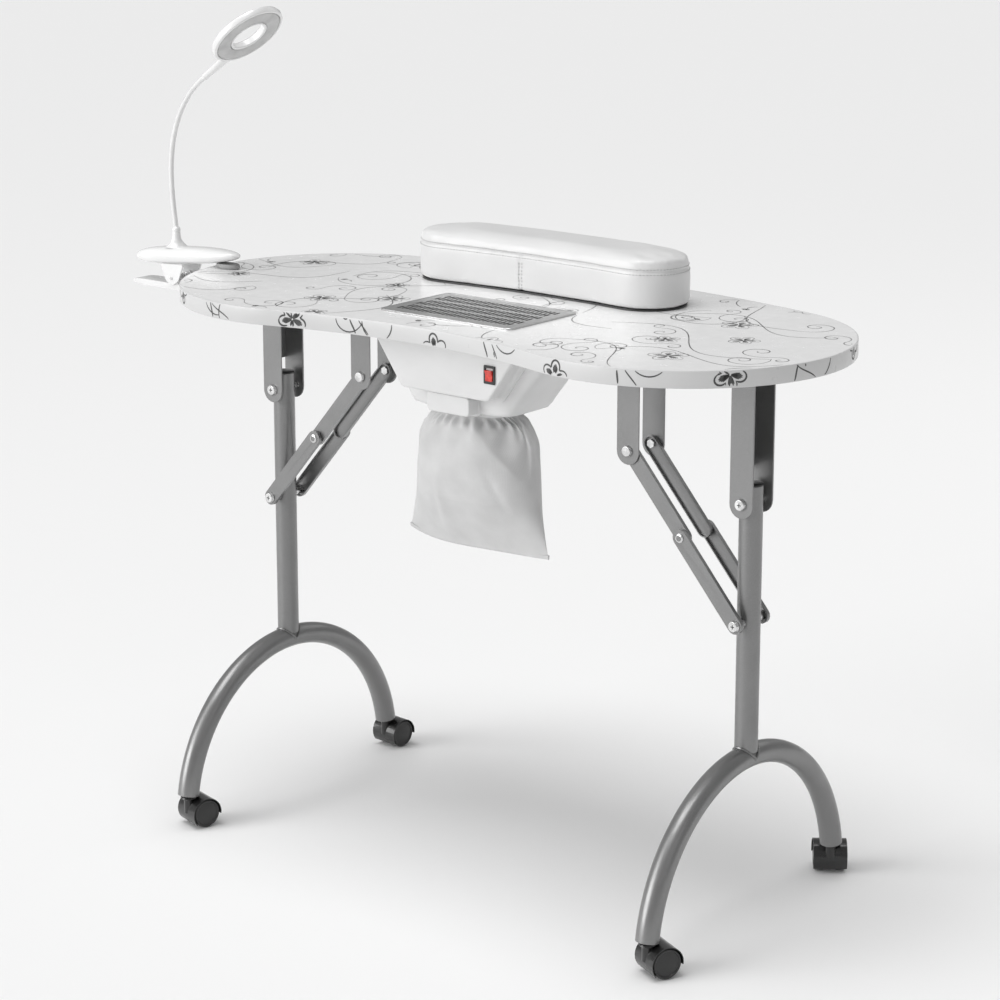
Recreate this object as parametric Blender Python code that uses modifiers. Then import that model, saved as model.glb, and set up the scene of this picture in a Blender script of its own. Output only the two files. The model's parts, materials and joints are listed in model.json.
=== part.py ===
"""Portable folding manicure table with dust collector, arm cushion and clip lamp.

Units are metres. +X runs along the tabletop to the right, +Y to the back, +Z up.
Both legs fold inwards under the top; every castor swivels and its wheels turn.
Everything hangs on the empty "table_frame", whose place puts the world origin
on the floor at the middle of the whole object's box.
"""

import math

import bmesh
import bpy
import numpy as np
from mathutils import Euler, Matrix, Vector

# ---------------------------------------------------------------- driving dimensions
FRAME_SHIFT = (0.069835, -0.014111, 0.0)
GAP = 0.0003

TOP_Z = 0.705
TOP_THICK = 0.020
END_CENTRE = 0.265
END_RADIUS = 0.205
BACK_REACH = 0.235
FRONT_WAIST = -0.166
BAND_THICK = 0.001

COLLECTOR_Y = -0.047
GRILLE_SIZE = (0.204, 0.131)
CUTOUT_SIZE = (0.186, 0.112)

TUBE_RADIUS = 0.014
TUBE_WALL = 0.0015
COLUMN_X = 0.368
PIVOT_Z = {-1: 0.552, 1: 0.521}
COLUMN_ABOVE = 0.020
ARCH_RADIUS = 0.196
ARCH_CENTRE_Z = 0.014
ARCH_END_Z = 0.0425

PLATE_WIDTH = 0.032
PLATE_BELOW = 0.017
PLATE_THICK = 0.002
LEG_PLATE_Y = 0.0195
BRACE_PLATE_Y = 0.0245

BRACE_I = (0.158, 0.040)
BRACE_P = -0.1436
BRACE_WIDTH = 0.020
BRACE_DEPTH = 0.0055
BRACE_WALL = 0.0015
UPPER_OUT = 0.0242
LOWER_OUT = 0.0300

WHEEL_RADIUS = 0.019
WHEEL_WIDTH = 0.013
WHEEL_INNER = 0.007
FENDER_RADIUS = 0.0206
CASTOR_TRAIL = 0.016
AXLE_RADIUS = 0.0025
CASTOR_YAW = {"front_left": -15.0, "front_right": -25.0, "back_left": -5.0, "back_right": 37.0}

LAMP_Y = -0.025
CLIP_CENTRE = (-0.5145, 0.715)
CLIP_HALF = (0.0955, 0.0225, 0.0155)
CLIP_TILT = 5.5
CLIP_PIN = (-0.528, 0.684)
ARM_BASE = (-0.535, 0.746)
BEND_GAP = 0.0016
HEAD_PIVOT = (-0.474, 0.953)
HEAD_CENTRE = (-0.398, 1.013)
HEAD_TILT = 43.0
HEAD_RADIUS = 0.051
HEAD_HOLE = 0.0225

CUSHION_X = -0.018
CUSHION_Y = 0.120
CUSHION_HEIGHT = 0.065

# ---------------------------------------------------------------- scene and helpers
for leftover in list(bpy.data.objects):
    bpy.data.objects.remove(leftover, do_unlink=True)

PARTS = bpy.data.collections.new("manicure_table")
CUTTERS = bpy.data.collections.new("cutters")
for group in (PARTS, CUTTERS):
    bpy.context.scene.collection.children.link(group)


def finish(name, colour, roughness, metallic=0.0):
    """A Principled BSDF material."""
    material = bpy.data.materials.new(name)
    material.use_nodes = True
    shader = material.node_tree.nodes["Principled BSDF"]
    shader.inputs["Base Color"].default_value = (*colour, 1.0)
    shader.inputs["Roughness"].default_value = roughness
    shader.inputs["Metallic"].default_value = metallic
    return material


WHITE_TOP = finish("white_laminate", (0.86, 0.86, 0.86), 0.25)
EDGE_GREY = finish("edge_band", (0.72, 0.72, 0.72), 0.35)
STEEL = finish("silver_paint", (0.40, 0.40, 0.41), 0.38, 0.6)
CHROME = finish("bright_zinc", (0.75, 0.75, 0.75), 0.2, 1.0)
GRILLE = finish("grille_silver", (0.62, 0.62, 0.63), 0.35, 0.8)
WHITE_ABS = finish("white_plastic", (0.78, 0.78, 0.78), 0.4)
BLACK = finish("black_plastic", (0.02, 0.02, 0.02), 0.4)
RED = finish("red_rocker", (0.62, 0.05, 0.03), 0.3)
BAG_CLOTH = finish("bag_fabric", (0.75, 0.75, 0.75), 0.9)
LEATHER = finish("white_leather", (0.82, 0.82, 0.82), 0.45)
LAMP_WHITE = finish("lamp_plastic", (0.82, 0.82, 0.82), 0.3)
DIFFUSER = finish("lamp_diffuser", (0.55, 0.55, 0.55), 0.5)


def empty(name, location, parent=None, turn=0.0):
    """An empty that carries pieces; turn is in degrees about Z."""
    holder = bpy.data.objects.new(name, None)
    holder.location = location
    holder.rotation_euler = (0.0, 0.0, math.radians(turn))
    holder.parent = parent
    PARTS.objects.link(holder)
    return holder


FRAME = empty("table_frame", FRAME_SHIFT)


def place(obj, name, parent, material=None, cutter=False):
    """Names obj, hangs it on parent and puts it among the parts or the cutters."""
    obj.name = name
    obj.parent = parent
    for owner in list(obj.users_collection):
        owner.objects.unlink(obj)
    (CUTTERS if cutter else PARTS).objects.link(obj)
    if cutter:
        obj.hide_render = True
        obj.display_type = "WIRE"
    if material:
        obj.data.materials.clear()
        obj.data.materials.append(material)
        obj.data.shade_smooth()
        obj.data.set_sharp_from_angle(angle=math.radians(35))
    return obj


def apply_scale(obj):
    """Moves an object's scale into its mesh, so later modifiers keep their widths."""
    for vertex in obj.data.vertices:
        vertex.co = Vector(a * b for a, b in zip(vertex.co, obj.scale))
    obj.scale = (1.0, 1.0, 1.0)
    return obj


def box(low, high):
    """A box between two corners."""
    low, high = Vector(low), Vector(high)
    bpy.ops.mesh.primitive_cube_add(size=1.0, location=(low + high) / 2)
    obj = bpy.context.object
    obj.scale = high - low
    return apply_scale(obj)


def rod(radius, start, end, sides=24, tip=None):
    """A closed cylinder from start to end, or a cone when tip gives its far radius."""
    start, end = Vector(start), Vector(end)
    along = end - start
    bpy.ops.mesh.primitive_cone_add(
        vertices=sides, radius1=radius, radius2=radius if tip is None else tip,
        depth=along.length, location=(start + end) / 2,
        rotation=along.to_track_quat("Z", "Y").to_euler(),
    )
    return bpy.context.object


def as_mesh(obj):
    """Turns a curve object into a welded mesh object in the same place."""
    bpy.context.view_layer.update()
    solid = bpy.data.meshes.new_from_object(obj.evaluated_get(bpy.context.evaluated_depsgraph_get()))
    work = bmesh.new()
    work.from_mesh(solid)
    bmesh.ops.remove_doubles(work, verts=work.verts, dist=1e-6)
    bmesh.ops.recalc_face_normals(work, faces=work.faces)
    work.to_mesh(solid)
    work.free()
    made = bpy.data.objects.new(obj.name, solid)
    bpy.context.scene.collection.objects.link(made)
    made.matrix_world = obj.matrix_world
    bpy.data.objects.remove(obj, do_unlink=True)
    return made


def flat(outlines, thickness, location=(0, 0, 0), upright=False):
    """A flat outline with holes as a slab centred on location; upright stands it in the XZ plane."""
    curve = bpy.data.curves.new("outline", "CURVE")
    curve.dimensions = "2D"
    curve.fill_mode = "BOTH"
    curve.extrude = thickness / 2
    for outline in outlines:
        spline = curve.splines.new("POLY")
        spline.points.add(len(outline) - 1)
        for point, (x, y) in zip(spline.points, outline):
            point.co = (x, y, 0.0, 1.0)
        spline.use_cyclic_u = True
    obj = bpy.data.objects.new("outline", curve)
    bpy.context.scene.collection.objects.link(obj)
    obj.location = location
    if upright:
        obj.rotation_euler = (math.pi / 2, 0.0, 0.0)
    return as_mesh(obj)


def arc(centre, radius, start, end, steps):
    """Points of an arc, angles in radians, both ends included."""
    angles = np.linspace(start, end, steps + 1)
    return [(centre[0] + radius * math.cos(a), centre[1] + radius * math.sin(a)) for a in angles]


def stadium(ax, ay, bx, by, radius, steps=8):
    """The outline of a strip with round ends centred on a and b."""
    heading = math.atan2(by - ay, bx - ax)
    far = arc((bx, by), radius, heading - math.pi / 2, heading + math.pi / 2, steps)
    near = arc((ax, ay), radius, heading + math.pi / 2, heading + 3 * math.pi / 2, steps)
    return far + near


def rounded(width, height, radius, centre=(0.0, 0.0), steps=4):
    """A rectangle with round corners."""
    points = []
    for corner in range(4):
        sx = (1, -1, -1, 1)[corner]
        sy = (1, 1, -1, -1)[corner]
        middle = (centre[0] + sx * (width / 2 - radius), centre[1] + sy * (height / 2 - radius))
        begin = corner * math.pi / 2
        points += arc(middle, radius, begin, begin + math.pi / 2, steps)
    return points


def kidney(end_x, end_radius, back, waist, inset=0.0, fine=1.0):
    """A kidney outline from four tangent arcs, symmetric about X = 0.

    Two end arcs of end_radius sit at (+-end_x, 0). The back arc runs through
    (0, back) and holds both; the hollow front arc runs through (0, waist).
    """
    back_radius = (end_x**2 + back**2 - end_radius**2) / (2 * (back - end_radius))
    back_centre = back - back_radius
    lip = waist + end_radius
    front_depth = (end_x**2 - lip**2) / (2 * lip)
    front_radius = waist + front_depth
    lean = math.atan2(-back_centre, end_x)
    dip = math.atan2(-front_depth, -end_x)
    open_angle = math.atan2(front_depth, end_x)
    end = end_radius - inset
    points = arc((0, back_centre), back_radius - inset, math.pi - lean, lean, round(18 * fine))[:-1]
    points += arc((end_x, 0), end, lean, dip, round(22 * fine))[:-1]
    points += arc((0, -front_depth), front_radius + inset, open_angle, math.pi - open_angle, round(14 * fine))[:-1]
    points += arc((-end_x, 0), end, -math.pi - dip, -math.pi - lean, round(22 * fine))[:-1]
    return points


def cut(obj, *cutters, union=False):
    """Adds one exact Boolean for each cutter."""
    for cutter in cutters:
        modifier = obj.modifiers.new(cutter.name, "BOOLEAN")
        modifier.operation = "UNION" if union else "DIFFERENCE"
        modifier.solver = "EXACT"
        modifier.object = cutter
        place(cutter, f"{obj.name}_{'add' if union else 'cut'}", obj.parent, cutter=True)
    return obj


def soften(obj, width, segments=2, angle=35):
    """Rounds the sharp edges."""
    bevel = obj.modifiers.new("rounding", "BEVEL")
    bevel.width = width
    bevel.segments = segments
    bevel.limit_method = "ANGLE"
    bevel.angle_limit = math.radians(angle)
    return obj


def tube_shell(obj):
    """Gives an open tube surface its wall, grown inwards."""
    wall = obj.modifiers.new("wall", "SOLIDIFY")
    wall.thickness = TUBE_WALL
    wall.offset = -1.0
    return obj


def hull(points):
    """The convex solid round a set of points."""
    mesh = bpy.data.meshes.new("hull")
    work = bmesh.new()
    for point in points:
        work.verts.new(point)
    found = bmesh.ops.convex_hull(work, input=work.verts)
    bmesh.ops.delete(work, geom=found["geom_interior"] + found["geom_unused"], context="VERTS")
    bmesh.ops.dissolve_limit(work, angle_limit=0.001, verts=work.verts, edges=work.edges)
    bmesh.ops.recalc_face_normals(work, faces=work.faces)
    work.to_mesh(mesh)
    work.free()
    obj = bpy.data.objects.new("hull", mesh)
    bpy.context.scene.collection.objects.link(obj)
    return obj


# ---------------------------------------------------------------- worktop
def worktop():
    """Board with its cut-out, the edge band round it and the grille plate in it."""
    opening = rounded(*CUTOUT_SIZE, 0.006, (0.0, COLLECTOR_Y))
    middle = TOP_Z - TOP_THICK / 2
    shape = (END_CENTRE, END_RADIUS, BACK_REACH, FRONT_WAIST)
    board = kidney(*shape, inset=BAND_THICK + GAP)
    place(flat([board, opening], TOP_THICK, (0, 0, middle)), "tabletop", FRAME, WHITE_TOP)
    band = flat([kidney(*shape), kidney(*shape, inset=BAND_THICK)], TOP_THICK, (0, 0, middle))
    place(band, "edge_band", FRAME, EDGE_GREY)


def vent_grille():
    """Pressed plate with three rows of slots, lying over the cut-out."""
    thick = 0.0015
    level = TOP_Z + GAP + thick / 2
    slots = []
    rows, columns = 3, 12
    for row in range(rows):
        for column in range(columns):
            x = (column - (columns - 1) / 2) * 0.0145
            y = COLLECTOR_Y + (row - 1) * 0.033
            slots.append(rounded(0.008, 0.024, 0.0015, (x, y), steps=1))
    plate = flat([rounded(*GRILLE_SIZE, 0.008, (0.0, COLLECTOR_Y))] + slots, thick, (0, 0, level))
    place(plate, "vent_grille", FRAME, GRILLE)


# ---------------------------------------------------------------- dust collector
CASING_TOP = TOP_Z - TOP_THICK - GAP
CASING_FLOOR = 0.589
COLLAR_BOTTOM = 0.584
COLLAR_HALF = (0.051, 0.031)
BLOCK_FACE = -0.104
PANEL_FACE = -0.112
PANEL_BACK = -0.1045
SWITCH_X = 0.071
SWITCH_Z = 0.648
FAN_Z = 0.664
INLET_Z = 0.627
ROCKER_TILT = 8.0


def casing_points(inset, top, floor):
    """Corners of the hopper, wide under the board and narrow at its floor."""
    points = []
    for z, half_x, front, back in (
        (CASING_TOP, 0.140, -0.088, 0.012),
        (0.660, 0.134, -0.088, 0.012),
        (0.606, 0.088, -0.087, 0.008),
        (CASING_FLOOR, 0.072, -0.085, 0.002),
    ):
        level = {CASING_TOP: top, CASING_FLOOR: floor}.get(z, z)
        for sx in (-1, 1):
            points.append((sx * (half_x - inset), front + inset, level))
            points.append((sx * (half_x - inset), back - inset, level))
    return points


def dust_collector():
    """Hopper shell with its front block and outlet collar, front panel and fan."""
    wall = 0.0025
    slope = [(0.118, CASING_TOP), (0.069, 0.617), (0.063, 0.614)]
    outline = slope + [(-x, z) for x, z in reversed(slope)]
    hollow = [(0.1180, CASING_TOP + 0.005), (0.0665, 0.619), (0.0620, 0.6165)]
    hollow += [(-x, z) for x, z in reversed(hollow)]
    block_back = -0.080
    block_depth = block_back - BLOCK_FACE
    block = flat([outline], block_depth, (0, BLOCK_FACE + block_depth / 2, 0), upright=True)
    inner = flat([hollow], block_depth, (0, BLOCK_FACE + wall + block_depth / 2, 0), upright=True)
    boss = box((-0.033, -0.1055, CASING_FLOOR), (0.033, block_back, 0.6136))
    boss_inner = box((-0.033 + wall, BLOCK_FACE + wall, CASING_FLOOR + wall), (0.033 - wall, block_back, 0.622))
    casing = place(hull(casing_points(0.0, CASING_TOP, CASING_FLOOR)), "collector_casing", FRAME, WHITE_ABS)
    collar_middle = (COLLAR_BOTTOM + CASING_FLOOR + 0.004) / 2
    collar_depth = CASING_FLOOR + 0.004 - COLLAR_BOTTOM
    outlet = rounded(2 * COLLAR_HALF[0], 2 * COLLAR_HALF[1], 0.020, (0, COLLECTOR_Y))
    bore = rounded(2 * COLLAR_HALF[0] - 0.006, 2 * COLLAR_HALF[1] - 0.006, 0.017, (0, COLLECTOR_Y))
    cut(casing, flat([outlet], collar_depth, (0, 0, collar_middle)), block, boss, union=True)
    cut(
        casing,
        hull(casing_points(wall, CASING_TOP + 0.005, CASING_FLOOR + wall)),
        inner,
        boss_inner,
        flat([bore], 0.040, (0, 0, COLLAR_BOTTOM + 0.015)),
        box((SWITCH_X - 0.0072, PANEL_BACK - 0.002, SWITCH_Z - 0.0102),
            (SWITCH_X + 0.0072, PANEL_BACK + 0.006, SWITCH_Z + 0.0102)),
        box((-0.0690, 0.002, INLET_Z - 0.0060), (-0.0510, 0.018, INLET_Z + 0.0060)),
    )

    window = rounded(0.0144, 0.0204, 0.001, (SWITCH_X, SWITCH_Z), 1)
    depth = PANEL_BACK - GAP - PANEL_FACE
    panel = flat([outline, window], depth, (0, PANEL_FACE + depth / 2, 0), upright=True)
    place(panel, "collector_front_panel", FRAME, WHITE_ABS)

    frame_plate = flat(
        [rounded(0.184, 0.104, 0.006, (0, COLLECTOR_Y)), arc((0, COLLECTOR_Y), 0.043, 0, 2 * math.pi, 32)[:-1]],
        0.003, (0, 0, FAN_Z),
    )
    place(frame_plate, "fan_frame", FRAME, BLACK)
    arms = [box((-0.045, COLLECTOR_Y - 0.003, FAN_Z - 0.0105), (0.045, COLLECTOR_Y + 0.003, FAN_Z - 0.0015)),
            box((-0.003, COLLECTOR_Y - 0.045, FAN_Z - 0.0106), (0.003, COLLECTOR_Y + 0.045, FAN_Z - 0.0014))]
    motor = rod(0.016, (0, COLLECTOR_Y, FAN_Z - 0.014), (0, COLLECTOR_Y, FAN_Z - 0.0015))
    cut(frame_plate, *arms, motor, union=True)

    spin = empty("fan_axis", (0, COLLECTOR_Y, FAN_Z + 0.002), FRAME)
    rotor = place(rod(0.0165, (0, 0, -0.0008), (0, 0, 0.018)), "fan_impeller", spin, BLACK)
    blades = 7
    for blade in range(blades):
        vane = box((0.012, -0.009, -0.0009), (0.0405, 0.009, 0.0009))
        around = 2 * math.pi * blade / blades
        vane.rotation_euler = Euler((math.radians(38), 0, around), "XYZ")
        vane.location = Vector((0.02625 * math.cos(around), 0.02625 * math.sin(around), 0.0085))
        cut(rotor, vane, union=True)


def power_controls():
    """Rocker switch in its bezel on the panel, and the low-voltage inlet at the back."""
    lip = 0.0014
    bezel_face = PANEL_FACE - GAP - lip
    hole = rounded(0.0112, 0.0162, 0.0006, (SWITCH_X, SWITCH_Z), 1)
    bezel = flat([rounded(0.0170, 0.0225, 0.001, (SWITCH_X, SWITCH_Z), 2), hole], lip,
                 (0, bezel_face + lip / 2, 0), upright=True)
    place(bezel, "switch_bezel", FRAME, BLACK)
    body_depth = 0.016
    body = flat([rounded(0.0136, 0.0196, 0.0006, (SWITCH_X, SWITCH_Z), 1), hole], body_depth,
                (0, bezel_face + lip + body_depth / 2 - 0.0002, 0), upright=True)
    cut(bezel, body, union=True)

    hinge = empty("switch_axis", (SWITCH_X, PANEL_FACE + 0.004, SWITCH_Z), FRAME)
    half = 0.0067
    profile = [(-0.0052, -half), (-0.0080, -half), (-0.0066, 0.0), (-0.0080, half), (-0.0052, half), (0.0030, 0.003),
               (0.0030, -0.003)]
    rocker = flat([profile], 0.0104)
    upright = Euler((math.pi / 2, 0.0, math.pi / 2)).to_matrix()
    rocker.rotation_euler = (Matrix.Rotation(math.radians(ROCKER_TILT), 3, "X") @ upright).to_euler()
    place(rocker, "switch_rocker", hinge, RED)

    inlet = box((-0.0687, 0.0012, INLET_Z - 0.0057), (-0.0513, 0.0140, INLET_Z + 0.0057))
    place(inlet, "power_inlet", FRAME, BLACK)
    cut(inlet, rod(0.0032, (-0.060, 0.006, INLET_Z), (-0.060, 0.020, INLET_Z), 20))


def dust_bag():
    """Filled bag: an oval mouth under the collar that flattens into a straight bottom seam."""
    top, bottom = COLLAR_BOTTOM - GAP, 0.408
    around, rings = 28, 10
    work = bmesh.new()
    loops = []
    for ring in range(rings + 1):
        t = ring / rings
        half_x = np.interp(t, (0, 0.1, 0.2, 0.5, 0.7, 1), (0.056, 0.072, 0.081, 0.090, 0.098, 0.109))
        half_y = np.interp(t, (0, 0.1, 0.3, 0.5, 0.7, 0.9, 1), (0.034, 0.044, 0.050, 0.048, 0.036, 0.016, 0.0025))
        z = top + (bottom - top) * t
        loop = []
        for step in range(around):
            a = 2 * math.pi * step / around
            x = math.copysign(abs(math.cos(a)) ** 0.75, math.cos(a)) * half_x
            y = math.copysign(abs(math.sin(a)) ** 0.75, math.sin(a)) * half_y
            loop.append(work.verts.new((x, y, z)))
        loops.append(loop)
    for upper, lower in zip(loops, loops[1:]):
        for step in range(around):
            after = (step + 1) % around
            work.faces.new((upper[step], upper[after], lower[after], lower[step]))
    work.faces.new(loops[0])
    work.faces.new(loops[-1])
    bmesh.ops.recalc_face_normals(work, faces=work.faces)
    mesh = bpy.data.meshes.new("dust_bag")
    work.to_mesh(mesh)
    work.free()
    bag = bpy.data.objects.new("dust_bag", mesh)
    bpy.context.scene.collection.objects.link(bag)
    bag.location = (0, COLLECTOR_Y, 0)
    place(bag, "dust_bag", FRAME, BAG_CLOTH)


# ---------------------------------------------------------------- legs and braces
SIDE_NAMES = {-1: "left", 1: "right"}


def u_bracket(name, x, hole_z, inner_y, hole_radius):
    """Folded bracket under the board: a base strip and two round-ended plates."""
    top = TOP_Z - TOP_THICK - GAP
    outer_y = inner_y + PLATE_THICK
    tip = hole_z - PLATE_BELOW + PLATE_WIDTH / 2
    outline = arc((x, tip), PLATE_WIDTH / 2, math.pi, 2 * math.pi, 12)
    outline += [(x + PLATE_WIDTH / 2, top), (x - PLATE_WIDTH / 2, top)]
    bracket = place(flat([outline], 2 * outer_y, upright=True), name, FRAME, STEEL)
    inside = box((x - 0.03, -inner_y, hole_z - 0.05), (x + 0.03, inner_y, top - PLATE_THICK))
    bore = rod(hole_radius, (x, -0.06, hole_z), (x, 0.06, hole_z), 16)
    return cut(bracket, inside, bore)


def leg(side):
    """One leg on its pivot: column, arch foot, cap and the bolt that carries the brace."""
    name = SIDE_NAMES[side]
    pivot_z = PIVOT_Z[side]
    pivot = empty(f"{name}_leg_axis", (side * COLUMN_X, 0, pivot_z), FRAME)
    centre_z = ARCH_CENTRE_Z - pivot_z
    reach = math.acos((ARCH_END_Z - ARCH_CENTRE_Z) / ARCH_RADIUS)

    def arch_tube(radius):
        curve = bpy.data.curves.new("arch", "CURVE")
        curve.dimensions = "3D"
        curve.bevel_depth = radius
        curve.bevel_resolution = 4
        spline = curve.splines.new("POLY")
        bends = np.linspace(-reach, reach, 19)
        spline.points.add(len(bends) - 1)
        for point, bend in zip(spline.points, bends):
            point.co = (0, ARCH_RADIUS * math.sin(bend), centre_z + ARCH_RADIUS * math.cos(bend), 1)
        return curve

    arch_curve = bpy.data.objects.new("arch", arch_tube(TUBE_RADIUS))
    bpy.context.scene.collection.objects.link(arch_curve)
    arch = as_mesh(arch_curve)
    place(arch, f"{name}_foot_arch", pivot, STEEL)
    tube_shell(arch)

    weld_cut = bpy.data.objects.new("weld", arch_tube(TUBE_RADIUS + GAP))
    weld_cut.data.use_fill_caps = True
    bpy.context.scene.collection.objects.link(weld_cut)
    bottom = centre_z + ARCH_RADIUS + 0.002
    bpy.ops.mesh.primitive_cylinder_add(
        vertices=20, radius=TUBE_RADIUS, depth=COLUMN_ABOVE - bottom, end_fill_type="NOTHING",
        location=(0, 0, (COLUMN_ABOVE + bottom) / 2),
    )
    column = place(bpy.context.object, f"{name}_column", pivot, STEEL)
    tube_shell(column)
    cut(
        column, as_mesh(weld_cut),
        rod(0.0043, (0, -0.03, 0), (0, 0.03, 0), 16),
        rod(0.0034, (0, -0.03, BRACE_P), (0, 0.03, BRACE_P), 16),
    )

    cap = rod(TUBE_RADIUS, (0, 0, COLUMN_ABOVE + GAP), (0, 0, COLUMN_ABOVE + 0.003))
    place(cap, f"{name}_column_cap", pivot, BLACK)
    plug = rod(TUBE_RADIUS - TUBE_WALL - 0.0004, (0, 0, 0.0065), (0, 0, COLUMN_ABOVE + 0.001))
    cut(cap, plug, union=True)

    bolt_y = LEG_PLATE_Y + PLATE_THICK
    shaft = rod(0.0038, (0, -bolt_y - 0.002, 0), (0, bolt_y + 0.006, 0), 12)
    bolt = place(shaft, f"{name}_pivot_bolt", pivot, CHROME)
    head = rod(0.0062, (0, -bolt_y - 0.0040, 0), (0, -bolt_y - GAP, 0), 14, tip=0.0076)
    nut = rod(0.0070, (0, bolt_y + GAP, 0), (0, bolt_y + 0.0050, 0), 6)
    sleeves = [rod(0.0060, (0, s * (TUBE_RADIUS + GAP), 0), (0, s * (LEG_PLATE_Y - GAP), 0), 12) for s in (-1, 1)]
    cut(bolt, head, nut, *sleeves, union=True)

    pin = rod(0.0030, (0, -LOWER_OUT - 0.002, BRACE_P), (0, LOWER_OUT + 0.002, BRACE_P), 12)
    pin = place(pin, f"{name}_brace_bolt", pivot, CHROME)
    inner = LOWER_OUT - BRACE_WALL - GAP
    for s in (-1, 1):
        collar = rod(0.0058, (0, s * (TUBE_RADIUS + GAP), BRACE_P), (0, s * inner, BRACE_P), 12)
        knob = rod(0.0076, (0, s * (LOWER_OUT + GAP), BRACE_P), (0, s * (LOWER_OUT + 0.004), BRACE_P), 14, tip=0.0060)
        cut(pin, collar, knob, union=True)
    return pivot


def channel(name, start, end, outer_y, parent, bores, facing):
    """A pressed channel: a web at outer_y with a rim turned inwards all round."""
    half = BRACE_WIDTH / 2
    middle = outer_y - BRACE_DEPTH / 2
    member = flat([stadium(*start, *end, half)], BRACE_DEPTH, (0, facing * middle, 0), upright=True)
    place(member, name, parent, STEEL)
    pocket_depth = BRACE_DEPTH
    pocket_middle = outer_y - BRACE_WALL - pocket_depth / 2
    pocket = flat([stadium(*start, *end, half - BRACE_WALL)], pocket_depth, (0, facing * pocket_middle, 0), True)
    cut(member, pocket)
    for x, z in bores:
        cut(member, rod(0.0034, (x, facing * (outer_y - 0.01), z), (x, facing * (outer_y + 0.01), z), 16))
    return member


def brace(side, leg_pivot):
    """Folding brace: two upper channels on the bracket, two lower ones on the leg."""
    name = SIDE_NAMES[side]
    inward = -side
    anchor_x = side * COLUMN_X + inward * BRACE_I[0]
    anchor_z = PIVOT_Z[side] + BRACE_I[1]
    half_x = inward * BRACE_I[0] / 2
    half_z = (BRACE_I[1] - BRACE_P) / 2
    u_bracket(f"{name}_brace_bracket", anchor_x, anchor_z, BRACE_PLATE_Y, 0.0034)
    upper_axis = empty(f"{name}_upper_brace_axis", (anchor_x, 0, anchor_z), FRAME)
    lower_axis = empty(f"{name}_lower_brace_axis", (0, 0, BRACE_P), leg_pivot)
    for label, facing in (("front", -1), ("rear", 1)):
        channel(f"{name}_{label}_upper_brace", (0, 0), (-half_x, -half_z), UPPER_OUT, upper_axis, [(0, 0)], facing)
        lower = channel(f"{name}_{label}_lower_brace", (0, 0), (half_x, half_z), LOWER_OUT, lower_axis,
                        [(0, 0)], facing)
        rivet = rod(0.0052, (half_x, facing * (LOWER_OUT - 0.001), half_z),
                    (half_x, facing * (LOWER_OUT + 0.0022), half_z), 20, tip=0.0034)
        cut(lower, rivet, union=True)
        plate_out = BRACE_PLATE_Y + PLATE_THICK
        web_in = UPPER_OUT - BRACE_WALL
        bolt = rod(0.0030, (0, facing * (web_in - 0.003), 0), (0, facing * (plate_out + 0.003), 0), 16)
        bolt = place(bolt, f"{name}_{label}_bracket_bolt", upper_axis, CHROME)
        inner_end = (rod(0.0055, (0, facing * (web_in - GAP), 0), (0, facing * (web_in - 0.0036), 0), 6))
        outer_end = rod(0.0074, (0, facing * (plate_out + GAP), 0), (0, facing * (plate_out + 0.004), 0), 20,
                        tip=0.0060)
        cut(bolt, inner_end, outer_end, union=True)


# ---------------------------------------------------------------- castors
def castor(name, leg_pivot, side, facing):
    """Twin-wheel castor: a hood with its stem and axle, and two wheels."""
    foot_y = facing * ARCH_RADIUS * math.sin(math.acos((ARCH_END_Z - ARCH_CENTRE_Z) / ARCH_RADIUS))
    swivel = empty(f"{name}_castor_axis", (0, foot_y, -PIVOT_Z[side]), leg_pivot, CASTOR_YAW[name])
    y, z = CASTOR_TRAIL, WHEEL_RADIUS
    half_width = WHEEL_INNER + WHEEL_WIDTH + 0.001
    hood = place(rod(FENDER_RADIUS, (-half_width, y, z), (half_width, y, z), 28), f"{name}_castor_hood", swivel, BLACK)
    pocket = WHEEL_RADIUS + 0.0006
    web = WHEEL_INNER - 0.0005
    cut(
        hood,
        rod(pocket, (web, y, z), (0.04, y, z), 28),
        rod(pocket, (-web, y, z), (-0.04, y, z), 28),
        box((-0.05, y - 0.05, -0.03), (0.05, y + 0.05, 0.0060)),
        box((-0.05, y + 0.004, -0.03), (0.05, y + 0.05, z - 0.003)),
    )
    cut(
        hood,
        rod(0.0062, (0, 0, z), (0, 0, 0.0385), 14),
        rod(0.0038, (0, 0, 0.030), (0, 0, 0.056), 10),
        rod(AXLE_RADIUS, (-half_width + 0.002, y, z), (half_width - 0.002, y, z), 10),
        union=True,
    )
    for label, s in (("left", -1), ("right", 1)):
        axis = empty(f"{name}_{label}_wheel_axis", (s * WHEEL_INNER, y, z), swivel)
        wheel = rod(WHEEL_RADIUS, (0, 0, 0), (s * WHEEL_WIDTH, 0, 0), 28)
        place(wheel, f"{name}_castor_{label}_wheel", axis, BLACK)
        cut(wheel, rod(AXLE_RADIUS + 0.0003, (-0.02, 0, 0), (0.02, 0, 0), 10))


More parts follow.
